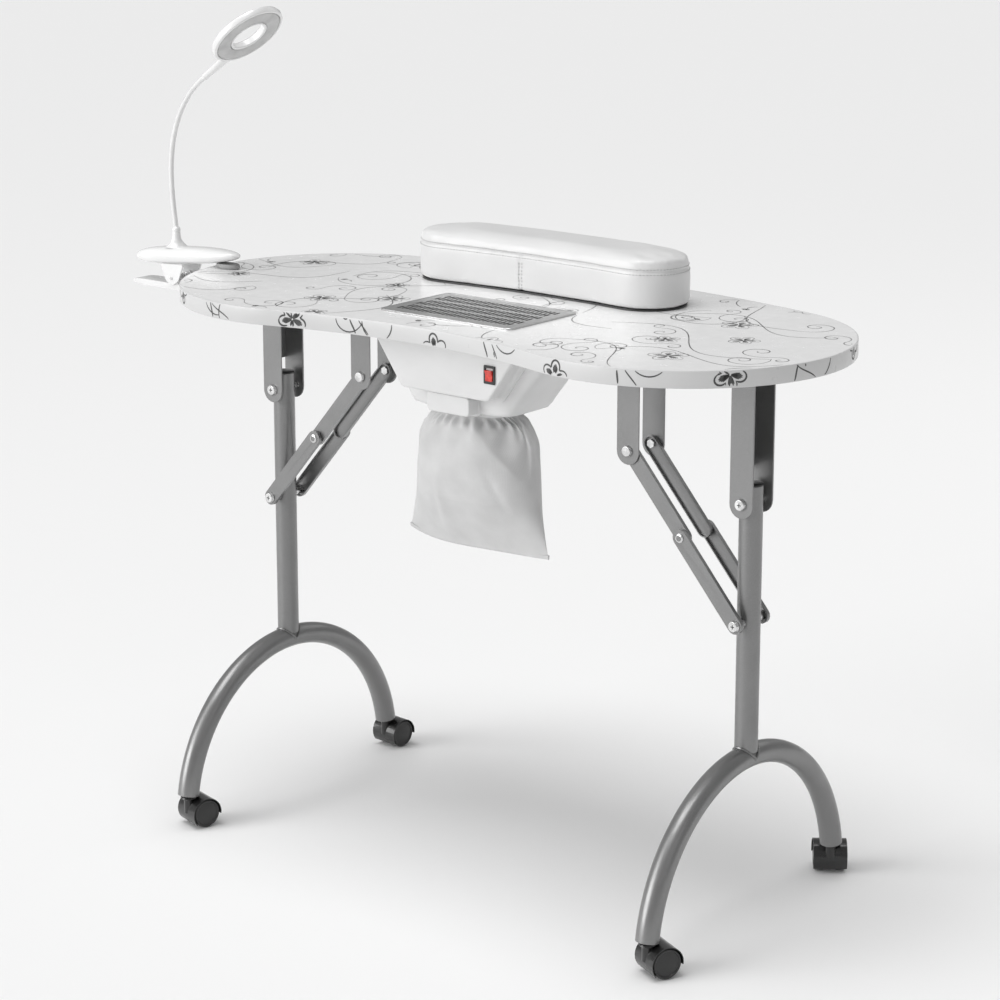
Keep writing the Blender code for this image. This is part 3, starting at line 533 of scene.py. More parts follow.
def intake_grille():
    """Three bands of two staggered rows of slots, rounded at their ends."""
    band_pitch, row_pitch, slot_pitch, stagger, columns = 0.0345, 0.0152, 0.0063, 0.0016, 28
    slots = []
    for band in range(3):
        for row in range(2):
            y = GRILLE_Y + (band - 1) * band_pitch + (row - 0.5) * row_pitch
            for column in range(columns):
                x = (column - (columns - 1) / 2) * slot_pitch + (stagger if row else -stagger)
                slots.append(rounded(0.0021, 0.0064, 0.0014, (x, y), count=2))
    plate = rounded(0.102, 0.0655, 0.008, (0, GRILLE_Y), count=8)
    cut_sheet("grille_plate", [plate] + slots, BOARD_TOP + 0.0012, BOARD_TOP + 0.0017, GRILLE_METAL,
              "table", ["vent_grille"])
    # Painted shade: a near-black sheet under the slots stands in for the shade seen through them.
    shade_material = moulded("filter_foam", 0.012, 0.95, grain=0.0008, scale=260)
    shells("grille_filter", [block((*TABLE[:2] + (0, GRILLE_Y), BOARD_TOP - 0.0010),
                                   (0.0905, 0.0540, 0.0020))], shade_material, "table",
           sharp=30)
    rim = []
    for inset, z in ((0.0, 0.0003), (0.0, 0.0014), (0.0007, 0.0021), (0.0020, 0.0022),
                     (0.0032, 0.0018), (0.0034, 0.0010)):
        loop = rounded(0.1021 - inset, 0.0656 - inset, 0.008 - inset * 0.6, (0, GRILLE_Y), count=8)
        rim.append(level(loop, BOARD_TOP + z) + TABLE)
    shells("grille_rim", [np.array(rim)], GRILLE_METAL, "table", closed=True)


intake_grille()

# ---------------------------------------------------------------- collector casing
# The dust collector hangs under the cut-out: a tapered ABS hopper with a collar for the bag. A
# thick block leaves its front in a hollow fillet and carries the face plate, with a boss below.


WHITE_ABS = moulded("white_abs", 0.70, 0.42)
CASING_TOP = BOARD_UNDER - 0.0004


def squircle(half_x, front, back, z, power=7.0, count=96):
    """A level superellipse ring between front and back."""
    a = full_turn(count)
    c, s = np.cos(a), np.sin(a)
    x = np.sign(c) * np.abs(c) ** (2 / power) * half_x
    y = (front + back) / 2 + np.sign(s) * np.abs(s) ** (2 / power) * (back - front) / 2
    return np.stack([x, y, np.full(count, z)], 1) + TABLE


def collector_casing():
    """Levels run down the outside, round the collar's lip and up the inside to the rim."""
    outside = [(0.1385, -0.0872, 0.0115, CASING_TOP), (0.1398, -0.0880, 0.0120, 0.6830),
               (0.1375, -0.0880, 0.0120, 0.6690), (0.1350, -0.0879, 0.0118, 0.6635),
               (0.1310, -0.0877, 0.0116, 0.6575), (0.1110, -0.0874, 0.0100, 0.6345),
               (0.0935, -0.0872, 0.0086, 0.6125), (0.0870, -0.0869, 0.0078, 0.6040),
               (0.0825, -0.0864, 0.0062, 0.5970), (0.0780, -0.0857, 0.0040, 0.5918),
               (0.0715, -0.0842, 0.0015, 0.5892)]
    collar = [(0.0530, -0.0798, -0.0142, 0.5889), (0.0508, -0.0778, -0.0162, 0.5880),
              (0.0506, -0.0776, -0.0164, 0.5852), (0.0496, -0.0768, -0.0172, 0.5842),
              (0.0482, -0.0756, -0.0184, 0.5845), (0.0480, -0.0754, -0.0186, 0.5920)]
    inside = [(0.0650, -0.0810, 0.0000, 0.5925), (0.0800, -0.0838, 0.0042, 0.6000),
              (0.1060, -0.0845, 0.0070, 0.6345), (0.1290, -0.0850, 0.0085, 0.6600),
              (0.1350, -0.0852, 0.0092, CASING_TOP)]
    rings = [squircle(x, front, back, z, 4.2 if z < 0.590 else 7.0)
             for x, front, back, z in outside + collar + inside]
    shells("collector_hopper", [np.array(rings)], WHITE_ABS, "table",
           ["collector_casing"], closed=True, sharp=50)


collector_casing()


def raised(name, outline, back, front, edge, material, body, stands_for=(), cove=0.0):
    """A plate that stands up from back to front (both Y), its outline in X and Z, with a rounded
    front rim and a hollow fillet of size cove where it leaves the wall behind it."""
    ahead, behind = np.roll(outline, -1, 0), np.roll(outline, 1, 0)
    along = ahead - behind
    along /= np.linalg.norm(along, axis=1)[:, None]
    turn = np.sign(np.sum(outline[:, 0] * ahead[:, 1] - ahead[:, 0] * outline[:, 1]))
    inward = np.stack([-along[:, 1], along[:, 0]], 1) * turn
    rings = [(0.0, back)]
    if cove:
        quarter = np.linspace(0, math.pi / 2, 6)
        rings = [(-cove, back + 0.003)]
        rings += [(-cove * (1 - math.sin(a)), back - cove * (1 - math.cos(a))) for a in quarter]
    for a in np.linspace(0, math.pi / 2, 5):
        rings.append((edge * (1 - math.cos(a)), front + edge * (1 - math.sin(a))))
    rings += [(edge * 1.4, front), (edge * 1.8, front)]
    grid = [level(outline + inward * inset, y)[:, [0, 2, 1]] for inset, y in rings]
    shells(name, [np.array(grid) + TABLE * (1, 1, 0)], material, body, stands_for)


def smoothed(corners, radius, count=5):
    """A polygon's outline with every corner rounded by a quadratic curve."""
    corners = np.array(corners, float)
    parts = []
    for before, corner, after in zip(np.roll(corners, 1, 0), corners, np.roll(corners, -1, 0)):
        start = corner + (before - corner) * radius / np.linalg.norm(before - corner)
        end = corner + (after - corner) * radius / np.linalg.norm(after - corner)
        t = np.linspace(0, 1, count)[:, None]
        parts.append((1 - t) ** 2 * start + 2 * t * (1 - t) * corner + t**2 * end)
    return np.concatenate(parts)


def densify(outline, step=0.004):
    """Extra points along the long edges of a closed outline."""
    parts = []
    for a, b in zip(outline, np.roll(outline, -1, 0)):
        pieces = max(1, int(np.linalg.norm(b - a) / step))
        parts.append(a + (b - a) * np.linspace(0, 1, pieces, endpoint=False)[:, None])
    return np.concatenate(parts)


def collector_front():
    """The thick front block in its hollow fillet, the trapezoid face plate and the lower boss."""
    top = CASING_TOP - 0.0002
    face = smoothed([(-0.1175, top), (-0.0690, 0.6165), (-0.0640, 0.6142), (0.0640, 0.6142),
                     (0.0690, 0.6165), (0.1175, top)], 0.0022)
    boss = smoothed([(-0.0330, 0.6130), (-0.0330, 0.5894), (0.0330, 0.5894), (0.0330, 0.6130)],
                    0.006)
    raised("front_block", densify(face), -0.0875, -0.1042, 0.0006, WHITE_ABS, "table",
           cove=0.006)
    raised("front_face_plate", densify(face), -0.1046, -0.1120, 0.0026, WHITE_ABS, "table",
           ["collector_front_panel"])
    raised("lower_boss", densify(boss), -0.0860, -0.1052, 0.0018, WHITE_ABS, "table",
           cove=0.003)


collector_front()

# ---------------------------------------------------------------- switch, fan and inlet
# A mains-style rocker snaps into the face plate. Behind the grille a fan hangs in its square
# frame, and a barrel inlet for the low-voltage supply sits in the casing's back.

BLACK_PLASTIC = moulded("black_plastic", 0.020, 0.42, coat=0.15)


def near(name):
    """The middle of a CAD node's box."""
    corner, far = ends_of(name)
    return (corner + far) / 2


def edged(node, material, width=0.0004, body="table", segments=2):
    """A copy of a pressed or turned CAD node, its flat faces rejoined and its edges rounded."""
    mesh = frame["nodes"][node].data.copy()
    work = bmesh.new()
    work.from_mesh(mesh)
    bmesh.ops.remove_doubles(work, verts=work.verts, dist=2e-6)
    bmesh.ops.dissolve_limit(work, angle_limit=math.radians(1), verts=work.verts, edges=work.edges)
    bmesh.ops.recalc_face_normals(work, faces=work.faces)
    work.to_mesh(mesh)
    work.free()
    piece = bpy.data.objects.new(f"{node}_finished", mesh)
    bpy.context.scene.collection.objects.link(piece)
    mesh.materials.clear()
    mesh.materials.append(material)
    rim = piece.modifiers.new("rim", "BEVEL")
    rim.width = width
    rim.segments = segments
    rim.limit_method = "ANGLE"
    rim.angle_limit = math.radians(30)
    rim.harden_normals = True
    mesh.shade_smooth()
    mesh.set_sharp_from_angle(angle=math.radians(30))
    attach(piece, body)
    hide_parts(node)


def switch():
    """The bezel and the rocker are their CAD solids with rounded edges."""
    edged("switch_bezel", BLACK_PLASTIC, 0.0005)
    red, tree, shader, place = finish("red_rocker", (0.62, 0.03, 0.02), 0.22, coat=0.5)
    glow = ramp(tree, noise(tree, place, 160, 3), [(0.35, (0.45, 0.012, 0.008)),
                                                   (0.7, (0.72, 0.05, 0.03))])
    tree.links.new(glow, shader.inputs["Base Color"])
    edged("switch_rocker", red, 0.0006, "switch")


switch()


def turned(profile, start, axis, count=48):
    """Rings of a turned shape: profile holds (height along the axis, radius)."""
    axis = np.array(axis, float) / np.linalg.norm(axis)
    side = np.cross(axis, (0, 0, 1) if abs(axis[2]) < 0.9 else (1, 0, 0))
    side /= np.linalg.norm(side)
    other = np.cross(axis, side)
    a = full_turn(count)
    circle = np.cos(a)[:, None] * side + np.sin(a)[:, None] * other
    return np.array([np.array(start) + axis * h + circle * max(r, 0.00004) for h, r in profile])


def fan_and_inlet():
    """Curved blades on a domed hub; each blade is a thin twisted lens from hub to tip."""
    edged("fan_frame", BLACK_PLASTIC, 0.0005)
    edged("power_inlet", BLACK_PLASTIC, 0.0004)
    corner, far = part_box("fan_impeller")
    hub = np.array([*near("fan_impeller")[:2], corner[2]])
    height = far[2] - corner[2]
    dome = turned([(0, 0.001), (0, 0.0160), (0.003, 0.0165), (height - 0.003, 0.0165),
                   (height - 0.0008, 0.0150), (height, 0.0120), (height, 0.001)], hub, (0, 0, 1))
    blades = [dome]
    for root in full_turn(9):
        loops = []
        for t in np.linspace(0, 1, 9):
            radius = 0.0150 + 0.0215 * t
            chord = np.linspace(-0.5, 0.5, 7)
            lens = 0.0009 * (1 - (2 * chord) ** 2) + 0.0001
            turn = root + chord * (0.55 - 0.10 * t) + 0.35 * t
            rise = height * (0.48 + 0.62 * chord * (1 - 0.25 * t))
            up = np.stack([radius * np.cos(turn), radius * np.sin(turn), rise + lens], 1)
            down = np.stack([radius * np.cos(turn), radius * np.sin(turn), rise - lens], 1)
            loops.append(np.concatenate([up, down[::-1]]) + hub)
        blades.append(np.array(loops))
    shells("fan_rotor", blades, BLACK_PLASTIC, "fan", ["fan_impeller"])


fan_and_inlet()

# ---------------------------------------------------------------- dust bag
# The bag is white non-woven polypropylene, gathered on an elastic round the collar and sewn
# straight across its foot. It hangs nearly empty, so it creases from the neck to its corners.


def non_woven(name):
    """Point-bonded fibre felt: a lattice of small dimples, faint clouding and a soft sheen."""
    material, tree, shader, place = finish(name, (0.57, 0.57, 0.57), 0.85, sheen=0.1)
    fibres = noise(tree, place, 30, 6)
    tree.links.new(ramp(tree, fibres, [(0.3, 0.535), (0.7, 0.60)]), shader.inputs["Base Color"])
    bonds = tree.nodes.new("ShaderNodeTexVoronoi")
    bonds.inputs["Scale"].default_value = 620
    bonds.inputs["Randomness"].default_value = 0.15
    tree.links.new(place, bonds.inputs["Vector"])
    relief(tree, shader, bonds.outputs["Distance"], 0.0002, 0.6)
    relief(tree, shader, noise(tree, place, 190, 4), 0.0002, 0.35)
    return material


def eased(t, places, values):
    """Straight runs between the given values, rounded by a moving average over a tenth of t."""
    fine = np.linspace(-0.15, 1.15, 1301)
    run = np.interp(fine, places, values)
    window = np.hanning(83)
    run = np.convolve(np.pad(run, 41, mode="edge"), window / window.sum(), mode="valid")
    return np.interp(t, fine, run)


def dust_bag():
    """A loft from the gathered neck to the flat foot seam. The front and the right flank meet in
    one long fold from the neck down to the right edge: a soft minimum of two surfaces."""
    mouth, foot = 0.5902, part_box("dust_bag")[0][2] + 0.0016
    rows, columns = 130, 320
    t = np.linspace(0, 1, rows)[:, None]
    a = full_turn(columns)[None, :]
    half_x = eased(t, (0, 0.035, 0.06, 0.12, 0.22, 0.45, 0.62, 0.80, 1),
                   (0.0565, 0.0545, 0.0580, 0.0715, 0.0810, 0.0880, 0.0935, 0.1015, 0.1090))
    half_y = eased(t, (0, 0.035, 0.06, 0.12, 0.25, 0.45, 0.62, 0.80, 0.93, 1),
                   (0.0360, 0.0345, 0.0370, 0.0435, 0.0500, 0.0500, 0.0420, 0.0240, 0.0080, 0.0010))
    c, s = np.cos(a), np.sin(a)
    u = np.sign(c) * np.abs(c) ** 0.9
    roundness = np.abs(s) ** (0.78 + 0.5 * t)
    fold = 0.42 + 0.62 * np.minimum(1, t / 0.62)
    flank = np.clip(1.02 - u, 0, 2) / (1.04 - np.minimum(fold, 0.99)) * (0.80 + 0.1 * t)
    sharp = 0.022 + 0.08 * np.clip(1 - t / 0.15, 0, 1) + 0.2 * np.clip((t - 0.55) / 0.2, 0, 1)
    front = -sharp * np.log(np.exp(-roundness / sharp) + np.exp(-flank / sharp))
    weight = np.clip(t / 0.08, 0, 1) * np.clip((0.72 - t) / 0.2, 0, 1)
    front = roundness + (np.maximum(front, 0) - roundness) * weight * (u > -0.2)
    profile = np.where(s < 0, front, roundness)
    gathers = 0.0034 * np.exp(-((t - 0.075) / 0.032) ** 2) * np.sin(30 * a + 1.4 * np.sin(3 * a))
    gathers += 0.0012 * np.exp(-((t - 0.12) / 0.08) ** 2) * np.sin(19 * a + 1.9 * np.sin(2 * a)
                                                                   + 9 * t)
    gathers += 0.0009 * np.exp(-((t - 0.01) / 0.02) ** 2) * np.sin(34 * a)
    gathers += 0.0016 * np.exp(-((t - 0.24) / 0.13) ** 2) * np.sin(9 * a + 2.0 * np.sin(2 * a)
                                                                   + 5 * t)
    drape = 0.0022 * np.exp(-((u + 0.28 + 0.1 * t) / 0.10) ** 2) * np.exp(-((t - 0.62) / 0.22) ** 2)
    drape -= 0.0024 * np.exp(-((u + 0.52 - 0.3 * (1 - t)) / 0.09) ** 2) * np.exp(-((t - 0.70)
                                                                                   / 0.20) ** 2)
    drape -= 0.0022 * np.exp(-((u - 0.35 - 0.5 * t) / 0.08) ** 2) * np.exp(-((t - 0.55)
                                                                             / 0.16) ** 2)
    drape += 0.0014 * np.sin(5.5 * u + 6 * t) * np.sin(math.pi * t) ** 2 * t
    x = u * half_x + c * gathers
    y = np.sign(s) * profile * half_y + s * gathers + np.sign(s) * np.abs(s) ** 0.6 * drape
    foot_curve = np.polyfit((-1, -0.62, -0.29, 0.3, 0.7, 1), (0.0105, 0.0015, 0.0, 0.0025, 0.0040,
                                                              0.0060), 4)
    lift = np.polyval(foot_curve, u)
    z = mouth + (foot - mouth) * t + np.maximum(lift, 0) * t**3
    middle = near("dust_bag")
    points = np.stack([x + TABLE[0], y + TABLE[1] + GRILLE_Y, z], 2)
    material = non_woven("bag_cloth")
    bag = shells("dust_bag_cloth", [points], material, "table", ["dust_bag"],
                 sharp=180)
    row = points[-1][points[-1][:, 0].argsort()]
    seam = np.linspace(row[0, 0] - 0.0004, row[-1, 0] + 0.0004, 90)
    path = np.stack([seam, np.full(90, middle[1]), np.interp(seam, row[:, 0], row[:, 2])], 1)
    ring = np.stack([[0, -0.0017, 0.0036], [0, 0.0017, 0.0036], [0, 0.0009, -0.0012],
                     [0, -0.0009, -0.0012]])
    hem = shells("bag_foot_seam", [path[:, None] + ring[None]], material, "table")
    for piece in (bag, hem):
        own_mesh(piece)


dust_bag()

# ---------------------------------------------------------------- leg and brace brackets
# Each bracket is 2 mm steel strip folded into a U and screwed under the board. The outer pair
# carries the legs and has a web down one side, the inner pair carries the folding braces.


def silver_paint(name, tone=0.25):
    """Metallic powder coat: bright flakes in grey, an orange-peel surface and rubbed edges."""
    material, tree, shader, place = finish(name, (tone, tone, tone * 1.01), 0.36, metallic=0.72,
                                           coat=0.25)
    flakes = tree.nodes.new("ShaderNodeTexVoronoi")
    flakes.inputs["Scale"].default_value = 1900
    tree.links.new(place, flakes.inputs["Vector"])
    glint = ramp(tree, flakes.outputs["Distance"], [(0.1, tone * 1.35), (0.45, tone * 0.92)])
    tree.links.new(glint, shader.inputs["Base Color"])
    handled = noise(tree, place, 22, 5)
    tree.links.new(ramp(tree, handled, [(0.3, 0.30), (0.75, 0.46)]), shader.inputs["Roughness"])
    relief(tree, shader, noise(tree, place, 520, 2), 0.00004, 0.5)
    return material


SILVER = silver_paint("silver_paint")
JOINTS = {joint["name"]: joint for joint in frame["joints"]}
SIDES = ("left", "right")


def bright_zinc(name):
    """Zinc plating, bright, with fine turning marks and a slight haze."""
    material, tree, shader, place = finish(name, (0.72, 0.72, 0.72), 0.24, metallic=1.0)
    haze = noise(tree, place, 130, 5)
    tree.links.new(ramp(tree, haze, [(0.3, 0.16), (0.75, 0.38)]), shader.inputs["Roughness"])
    tree.links.new(ramp(tree, haze, [(0.3, 0.60), (0.7, 0.80)]), shader.inputs["Base Color"])
    relief(tree, shader, noise(tree, place, 900, 2), 0.00002, 0.4)
    return material


ZINC = bright_zinc("bright_zinc")


def brackets(side):
    """The folded strips with rounded edges, the outer one's web, and their screws in the board."""
    for kind in ("leg_bracket", "brace_bracket"):
        edged(f"{side}_{kind}", SILVER, 0.0006)
    corner, far = ends_of(f"{side}_leg_bracket")
    cap_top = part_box(f"{side}_column_cap")[1][2]
    web_low = cap_top + 0.012
    x = corner[0] + 0.0010
    web = block((x, (corner[1] + far[1]) / 2, (web_low + far[2]) / 2),
                (0.0009, (far[1] - corner[1]) / 2 - 0.0012, (far[2] - web_low) / 2 - 0.0004))
    shells(f"{side}_bracket_web", [web], SILVER, "table", sharp=30)
    screws = []
    for kind in ("leg_bracket", "brace_bracket"):
        low_corner, high_corner = ends_of(f"{side}_{kind}")
        middle = (low_corner + high_corner) / 2
        for shift in (-0.0095, 0.0095):
            seat = (middle[0] + shift, middle[1], high_corner[2] - 0.0019)
            screws.append(turned([(0, 0.0001), (0, 0.0036), (-0.0008, 0.0035), (-0.0019, 0.0024),
                                  (-0.0023, 0.0001)], seat, (0, 0, 1), 20))
    shells(f"{side}_bracket_screws", screws, ZINC, "table")


for side in SIDES:
    brackets(side)

# ---------------------------------------------------------------- legs
# A leg is a 28 mm steel tube welded on the crown of a bent tube arch and painted silver. A
# black domed cap closes its top, and a bolt through tube and bracket is its pivot.

TUBE_R = 0.0140
ARCH_R = 0.196
ARCH_END_Z = 0.0425
BRACE_BOLT_DROP = 0.1436


def pipe(path, radius, normal, count=40):
    """Rings of a tube along a path that lies in the plane with this normal."""
    path, normal = np.array(path, float), np.array(normal, float)
    along = np.gradient(path, axis=0)
    along /= np.linalg.norm(along, axis=1)[:, None]
    side = np.cross(along, normal)
    a = full_turn(count)
    radius = np.broadcast_to(radius, len(path))[:, None, None]
    return path[:, None] + radius * (np.cos(a)[None, :, None] * side[:, None]
                                     + np.sin(a)[None, :, None] * normal)


def leg(side):
    """Column, arch, weld bead, cap, pivot bolt and brace bolt."""
    body, pivot = f"{side}_leg", np.array(JOINTS[f"{side}_leg_fold"]["pos_m"])
    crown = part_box(f"{side}_foot_arch")[1][2]
    centre_z = crown - TUBE_R - ARCH_R
    bend = math.acos((ARCH_END_Z - centre_z) / ARCH_R)
    t = np.linspace(-bend, bend, 97)
    path = np.stack([np.full(97, pivot[0]), pivot[1] + ARCH_R * np.sin(t),
                     centre_z + ARCH_R * np.cos(t)], 1)
    arch = pipe(path, TUBE_R, (1, 0, 0))
    column_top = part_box(f"{side}_column")[1][2]
    foot = crown - 0.006
    rise = column_top - foot
    column = turned([(0, TUBE_R), (0.02, TUBE_R), (rise - 0.0006, TUBE_R), (rise, TUBE_R - 0.0006)],
                    (pivot[0], pivot[1], foot), (0, 0, 1), 48)
    a = full_turn(64)
    across, ahead = TUBE_R * np.cos(a), TUBE_R * np.sin(a)
    reach = ARCH_R + np.sqrt(np.maximum(TUBE_R**2 - across**2, 0))
    saddle = np.stack([pivot[0] + across, pivot[1] + ahead,
                       centre_z + np.sqrt(reach**2 - ahead**2)], 1)
    size = (0.0021 + 0.0002 * np.sin(a * 26))[:, None]
    outward = np.stack([np.cos(a), np.sin(a), np.full(64, 0.35)], 1)
    bead = []
    for phi in full_turn(8):
        bead.append(saddle + size * (math.cos(phi) * outward + math.sin(phi) * np.array([0, 0, 1])))
    shells(f"{side}_arch_tube", [arch], SILVER, body, [f"{side}_foot_arch"])
    shells(f"{side}_column_tube", [column], SILVER, body, [f"{side}_column"])
    shells(f"{side}_weld_bead", [np.array(bead)], SILVER, body, closed=True)
    seat = column_top + 0.0003
    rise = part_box(f"{side}_column_cap")[1][2] - seat
    dome = [(0, 0.001), (0, 0.0138)]
    dome += [(rise * (0.25 + 0.75 * math.sin(u)), TUBE_R * math.cos(u) ** 0.6)
             for u in np.linspace(0, 1.52, 8)]
    shells(f"{side}_cap_dome", [turned(dome, (pivot[0], pivot[1], seat), (0, 0, 1), 40)],
           BLACK_PLASTIC, body, [f"{side}_column_cap"])
    edged(f"{side}_pivot_bolt", ZINC, 0.0005, body)
    edged(f"{side}_brace_bolt", ZINC, 0.0005, body)
    # Painted shade: thin black crosses on the bolt heads stand in for the shade inside their cross
    # recesses.
    recess_shade_marks = []
    for bolt, drop in (("pivot_bolt", 0.0), ("brace_bolt", BRACE_BOLT_DROP)):
        head_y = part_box(f"{side}_{bolt}")[0][1]
        for half in ((0.0026, 0.00012, 0.0006), (0.0006, 0.00014, 0.0026)):
            recess_shade_marks.append(block((pivot[0], head_y + 0.00008, pivot[2] - drop), half))
    shells(f"{side}_bolt_recess_shade", recess_shade_marks, BLACK_PLASTIC, body, sharp=30)


for side in SIDES:
    leg(side)

# ---------------------------------------------------------------- folding braces
# Each brace is a pair of pressed steel channels riveted end to end. The upper ones hang on the
# inner bracket, the lower ones on the leg's cross bolt, and the knee folds towards the column.


def braces(side):
    """Channels with rounded rims, and the bolts that hold the upper ones in the bracket."""
    for row in ("front", "rear"):
        edged(f"{side}_{row}_upper_brace", SILVER, 0.0005, f"{side}_upper_brace")
        edged(f"{side}_{row}_lower_brace", SILVER, 0.0005, f"{side}_lower_brace")
        edged(f"{side}_{row}_bracket_bolt", ZINC, 0.0005, f"{side}_upper_brace")
    rivets = []
    upper, lower = (np.array(JOINTS[f"{side}_{part}_brace_fold"]["pos_m"])
                    for part in ("upper", "lower"))
    knee = lower + (upper - lower) / 2
    for facing, row in ((-1, "front"), (1, "rear")):
        corner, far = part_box(f"{side}_{row}_lower_brace")
        outer = corner[1] if facing < 0 else far[1]
        face = outer - facing * 0.0022
        rivets.append(turned([(0, 0.0001), (0, 0.0056), (0.0010, 0.0055), (0.0019, 0.0042),
                              (0.0021, 0.0001)], (knee[0], face, knee[2]), (0, facing, 0), 28))
    shells(f"{side}_knee_rivets", rivets, ZINC, f"{side}_lower_brace")


for side in SIDES:
    braces(side)

# ---------------------------------------------------------------- castors
# Twin-wheel furniture castors: a glossy black nylon hood on a steel stem pressed into the tube,
# and two wheels with a matt tread and a domed dark cover that shows inside the hood's rim.

HOOD_BLACK = moulded("hood_black", 0.012, 0.30, coat=0.4)
WHEEL_BLACK = moulded("wheel_cover", 0.016, 0.36, coat=0.2)


def castor(name):
    """Hood with rounded rims; each wheel's section runs over the tread and the domed cover."""
    edged(f"{name}_castor_hood", HOOD_BLACK, 0.0009, f"{name}_castor", segments=3)
    swivel = np.array(JOINTS[f"{name}_castor_swivel"]["pos_m"])
    collar = turned([(0, 0.001), (0, 0.0095), (0.0012, 0.0105), (0.0030, 0.0100), (0.0036, 0.001)],
                    (swivel[0], swivel[1], 0.0382), (0, 0, 1), 36)
    shells(f"{name}_castor_collar", [collar], HOOD_BLACK, f"{name}_castor")
    for hand, label in ((-1, "left"), (1, "right")):
        spin = JOINTS[f"{name}_castor_{label}_wheel_spin"]
        middle, axle = np.array(spin["pos_m"]), np.array(spin["axis"])
        axle = axle / np.linalg.norm(axle) * hand
        corner, far = ends_of(f"{name}_castor_{label}_wheel")
        radius = (far[2] - corner[2]) / 2
        half = 0.0064
        section = [(-half, 0.0030), (-half, radius - 0.0015), (-half + 0.0014, radius - 0.0002),
                   (0.0, radius), (half - 0.0018, radius - 0.0002),
                   (half - 0.0003, radius - 0.0016), (half - 0.0004, radius - 0.0032),
                   (half - 0.0014, radius - 0.0040), (half - 0.0014, radius - 0.0048),
                   (half - 0.0008, 0.0105), (half - 0.0003, 0.0060), (half - 0.0001, 0.0003)]
        shells(f"{name}_{label}_wheel", [turned(section, middle, axle, 56)], WHEEL_BLACK,
               f"{name}_castor_{label}_wheel", [f"{name}_castor_{label}_wheel"],
               sharp=42)


for side in SIDES:
    for end in ("front", "back"):
        castor(f"{end}_{side}")

# ---------------------------------------------------------------- clip lamp
# A spring clip of glossy white ABS grips the board's end between rubber pads. A gooseneck in a
# white sleeve carries the ring head, whose lower face is a frosted diffuser over its LEDs.

LAMP_WHITE = moulded("lamp_white", 0.82, 0.24, grain=0.00001, scale=300, coat=0.4)


def ball(centre, radius):
    """A sphere as a turned shape."""
    t = np.linspace(-math.pi / 2, math.pi / 2, 17)
    return turned([(radius * math.sin(u), radius * math.cos(u)) for u in t], centre, (0, 0, 1), 32)


def clip():
    """The upper shell is a tapering loft along X and its neck narrows towards the arm."""
    corner, far = ends_of("clip_upper_jaw")
    arm_base = np.array(JOINTS["lamp_arm_bend"]["pos_m"])
    pin = np.array(JOINTS["clip_jaw_open"]["pos_m"])
    t = np.linspace(0, 1, 48)
    x = corner[0] + 0.0004 + (far[0] - corner[0] - 0.0008) * t
    fullness = np.sqrt(np.clip(1 - np.abs(2 * t - 1) ** 2.6, 0.0004, 1))
    width = 0.0222 * fullness * (1 - 0.18 * t)
    axis_z = 0.7050 + 0.0175 * t
    upper, lower = 0.0135 * fullness * (1.05 - 0.25 * t), 0.0125 * fullness
    a = full_turn(48)
    c, s = np.cos(a), np.sin(a)
    bulge = np.where(s > 0, upper[:, None], lower[:, None] * (1 - 0.25 * t[:, None]))
    y = pin[1] + np.sign(c) * np.abs(c) ** 0.8 * width[:, None]
    z = axis_z[:, None] + np.sign(s) * np.abs(s) ** 0.85 * bulge
    shell = np.stack([x[:, None] + 0 * a, y, z], 2)
    neck_z = 0.7235
    rise = arm_base[2] - neck_z
    flare = [(0.0, 0.0150), (0.08, 0.0128), (0.18, 0.0104), (0.30, 0.0082), (0.42, 0.0068),
             (0.55, 0.0060), (0.70, 0.0056)]
    neck = turned([(0, 0.0002)] + [(rise * u, r) for u, r in flare]
                  + [(rise - 0.0030, 0.0054), (rise - 0.0012, 0.0049), (rise - 0.0010, 0.0003)],
                  (arm_base[0], arm_base[1], neck_z), (0, 0, 1), 40)
    cheeks = []
    for hand in (-1, 1):
        corners = np.array([(-0.020, 0.018), (-0.011, -0.004), (0.0, -0.0095), (0.011, -0.004),
                            (0.022, 0.020)])
        plate = smoothed(corners, 0.004)
        cheeks.append(np.array([np.stack([plate[:, 0] + pin[0],
                                          np.full(len(plate), pin[1] + hand * 0.0171 + d),
                                          plate[:, 1] + pin[2]], 1) for d in (-0.0011, 0.0011)]))
    shells("clip_shell", [shell, neck] + cheeks, LAMP_WHITE, "table",
           ["clip_upper_jaw"])
    shells("arm_ball", [ball(arm_base, 0.0056)], LAMP_WHITE, "table")
    edged("clip_lower_jaw", LAMP_WHITE, 0.0012, "clip_jaw", segments=3)
    edged("clip_pin", ZINC, 0.0003)
    turns = np.linspace(0, 1, 220)
    coil = np.stack([pin[0] + 0.0042 * np.cos(turns * 6 * 2 * math.pi),
                     pin[1] + (turns - 0.5) * 0.020,
                     pin[2] + 0.0042 * np.sin(turns * 6 * 2 * math.pi)], 1)
    shells("clip_coil", [pipe(coil, 0.0007, (0, 1, 0), 8)], ZINC, "table",
           ["clip_spring"])
    rubber = moulded("pad_rubber", 0.34, 0.6, grain=0.0001)
    pad_x = near("edge_band")[0] - 0.470 + 0.022
    sole = turned([(0, 0.0002), (0, 0.0098), (0.0008, 0.0108), (0.0035, 0.0112), (0.0058, 0.0104),
                   (0.0064, 0.0002)], (0, 0, 0), (0, 0, 1),
                  40) * (1.7, 1, 1) + (far[0] - 0.0215, pin[1], BOARD_TOP + 0.0003)
    shells("clip_upper_pad", [sole], rubber, "table", sharp=50)
    lower_pad = block((pad_x - 0.004, pin[1], BOARD_UNDER - 0.0042), (0.0060, 0.0110, 0.0036))
    shells("clip_lower_pad", [lower_pad], rubber, "clip_jaw", sharp=30)


clip()


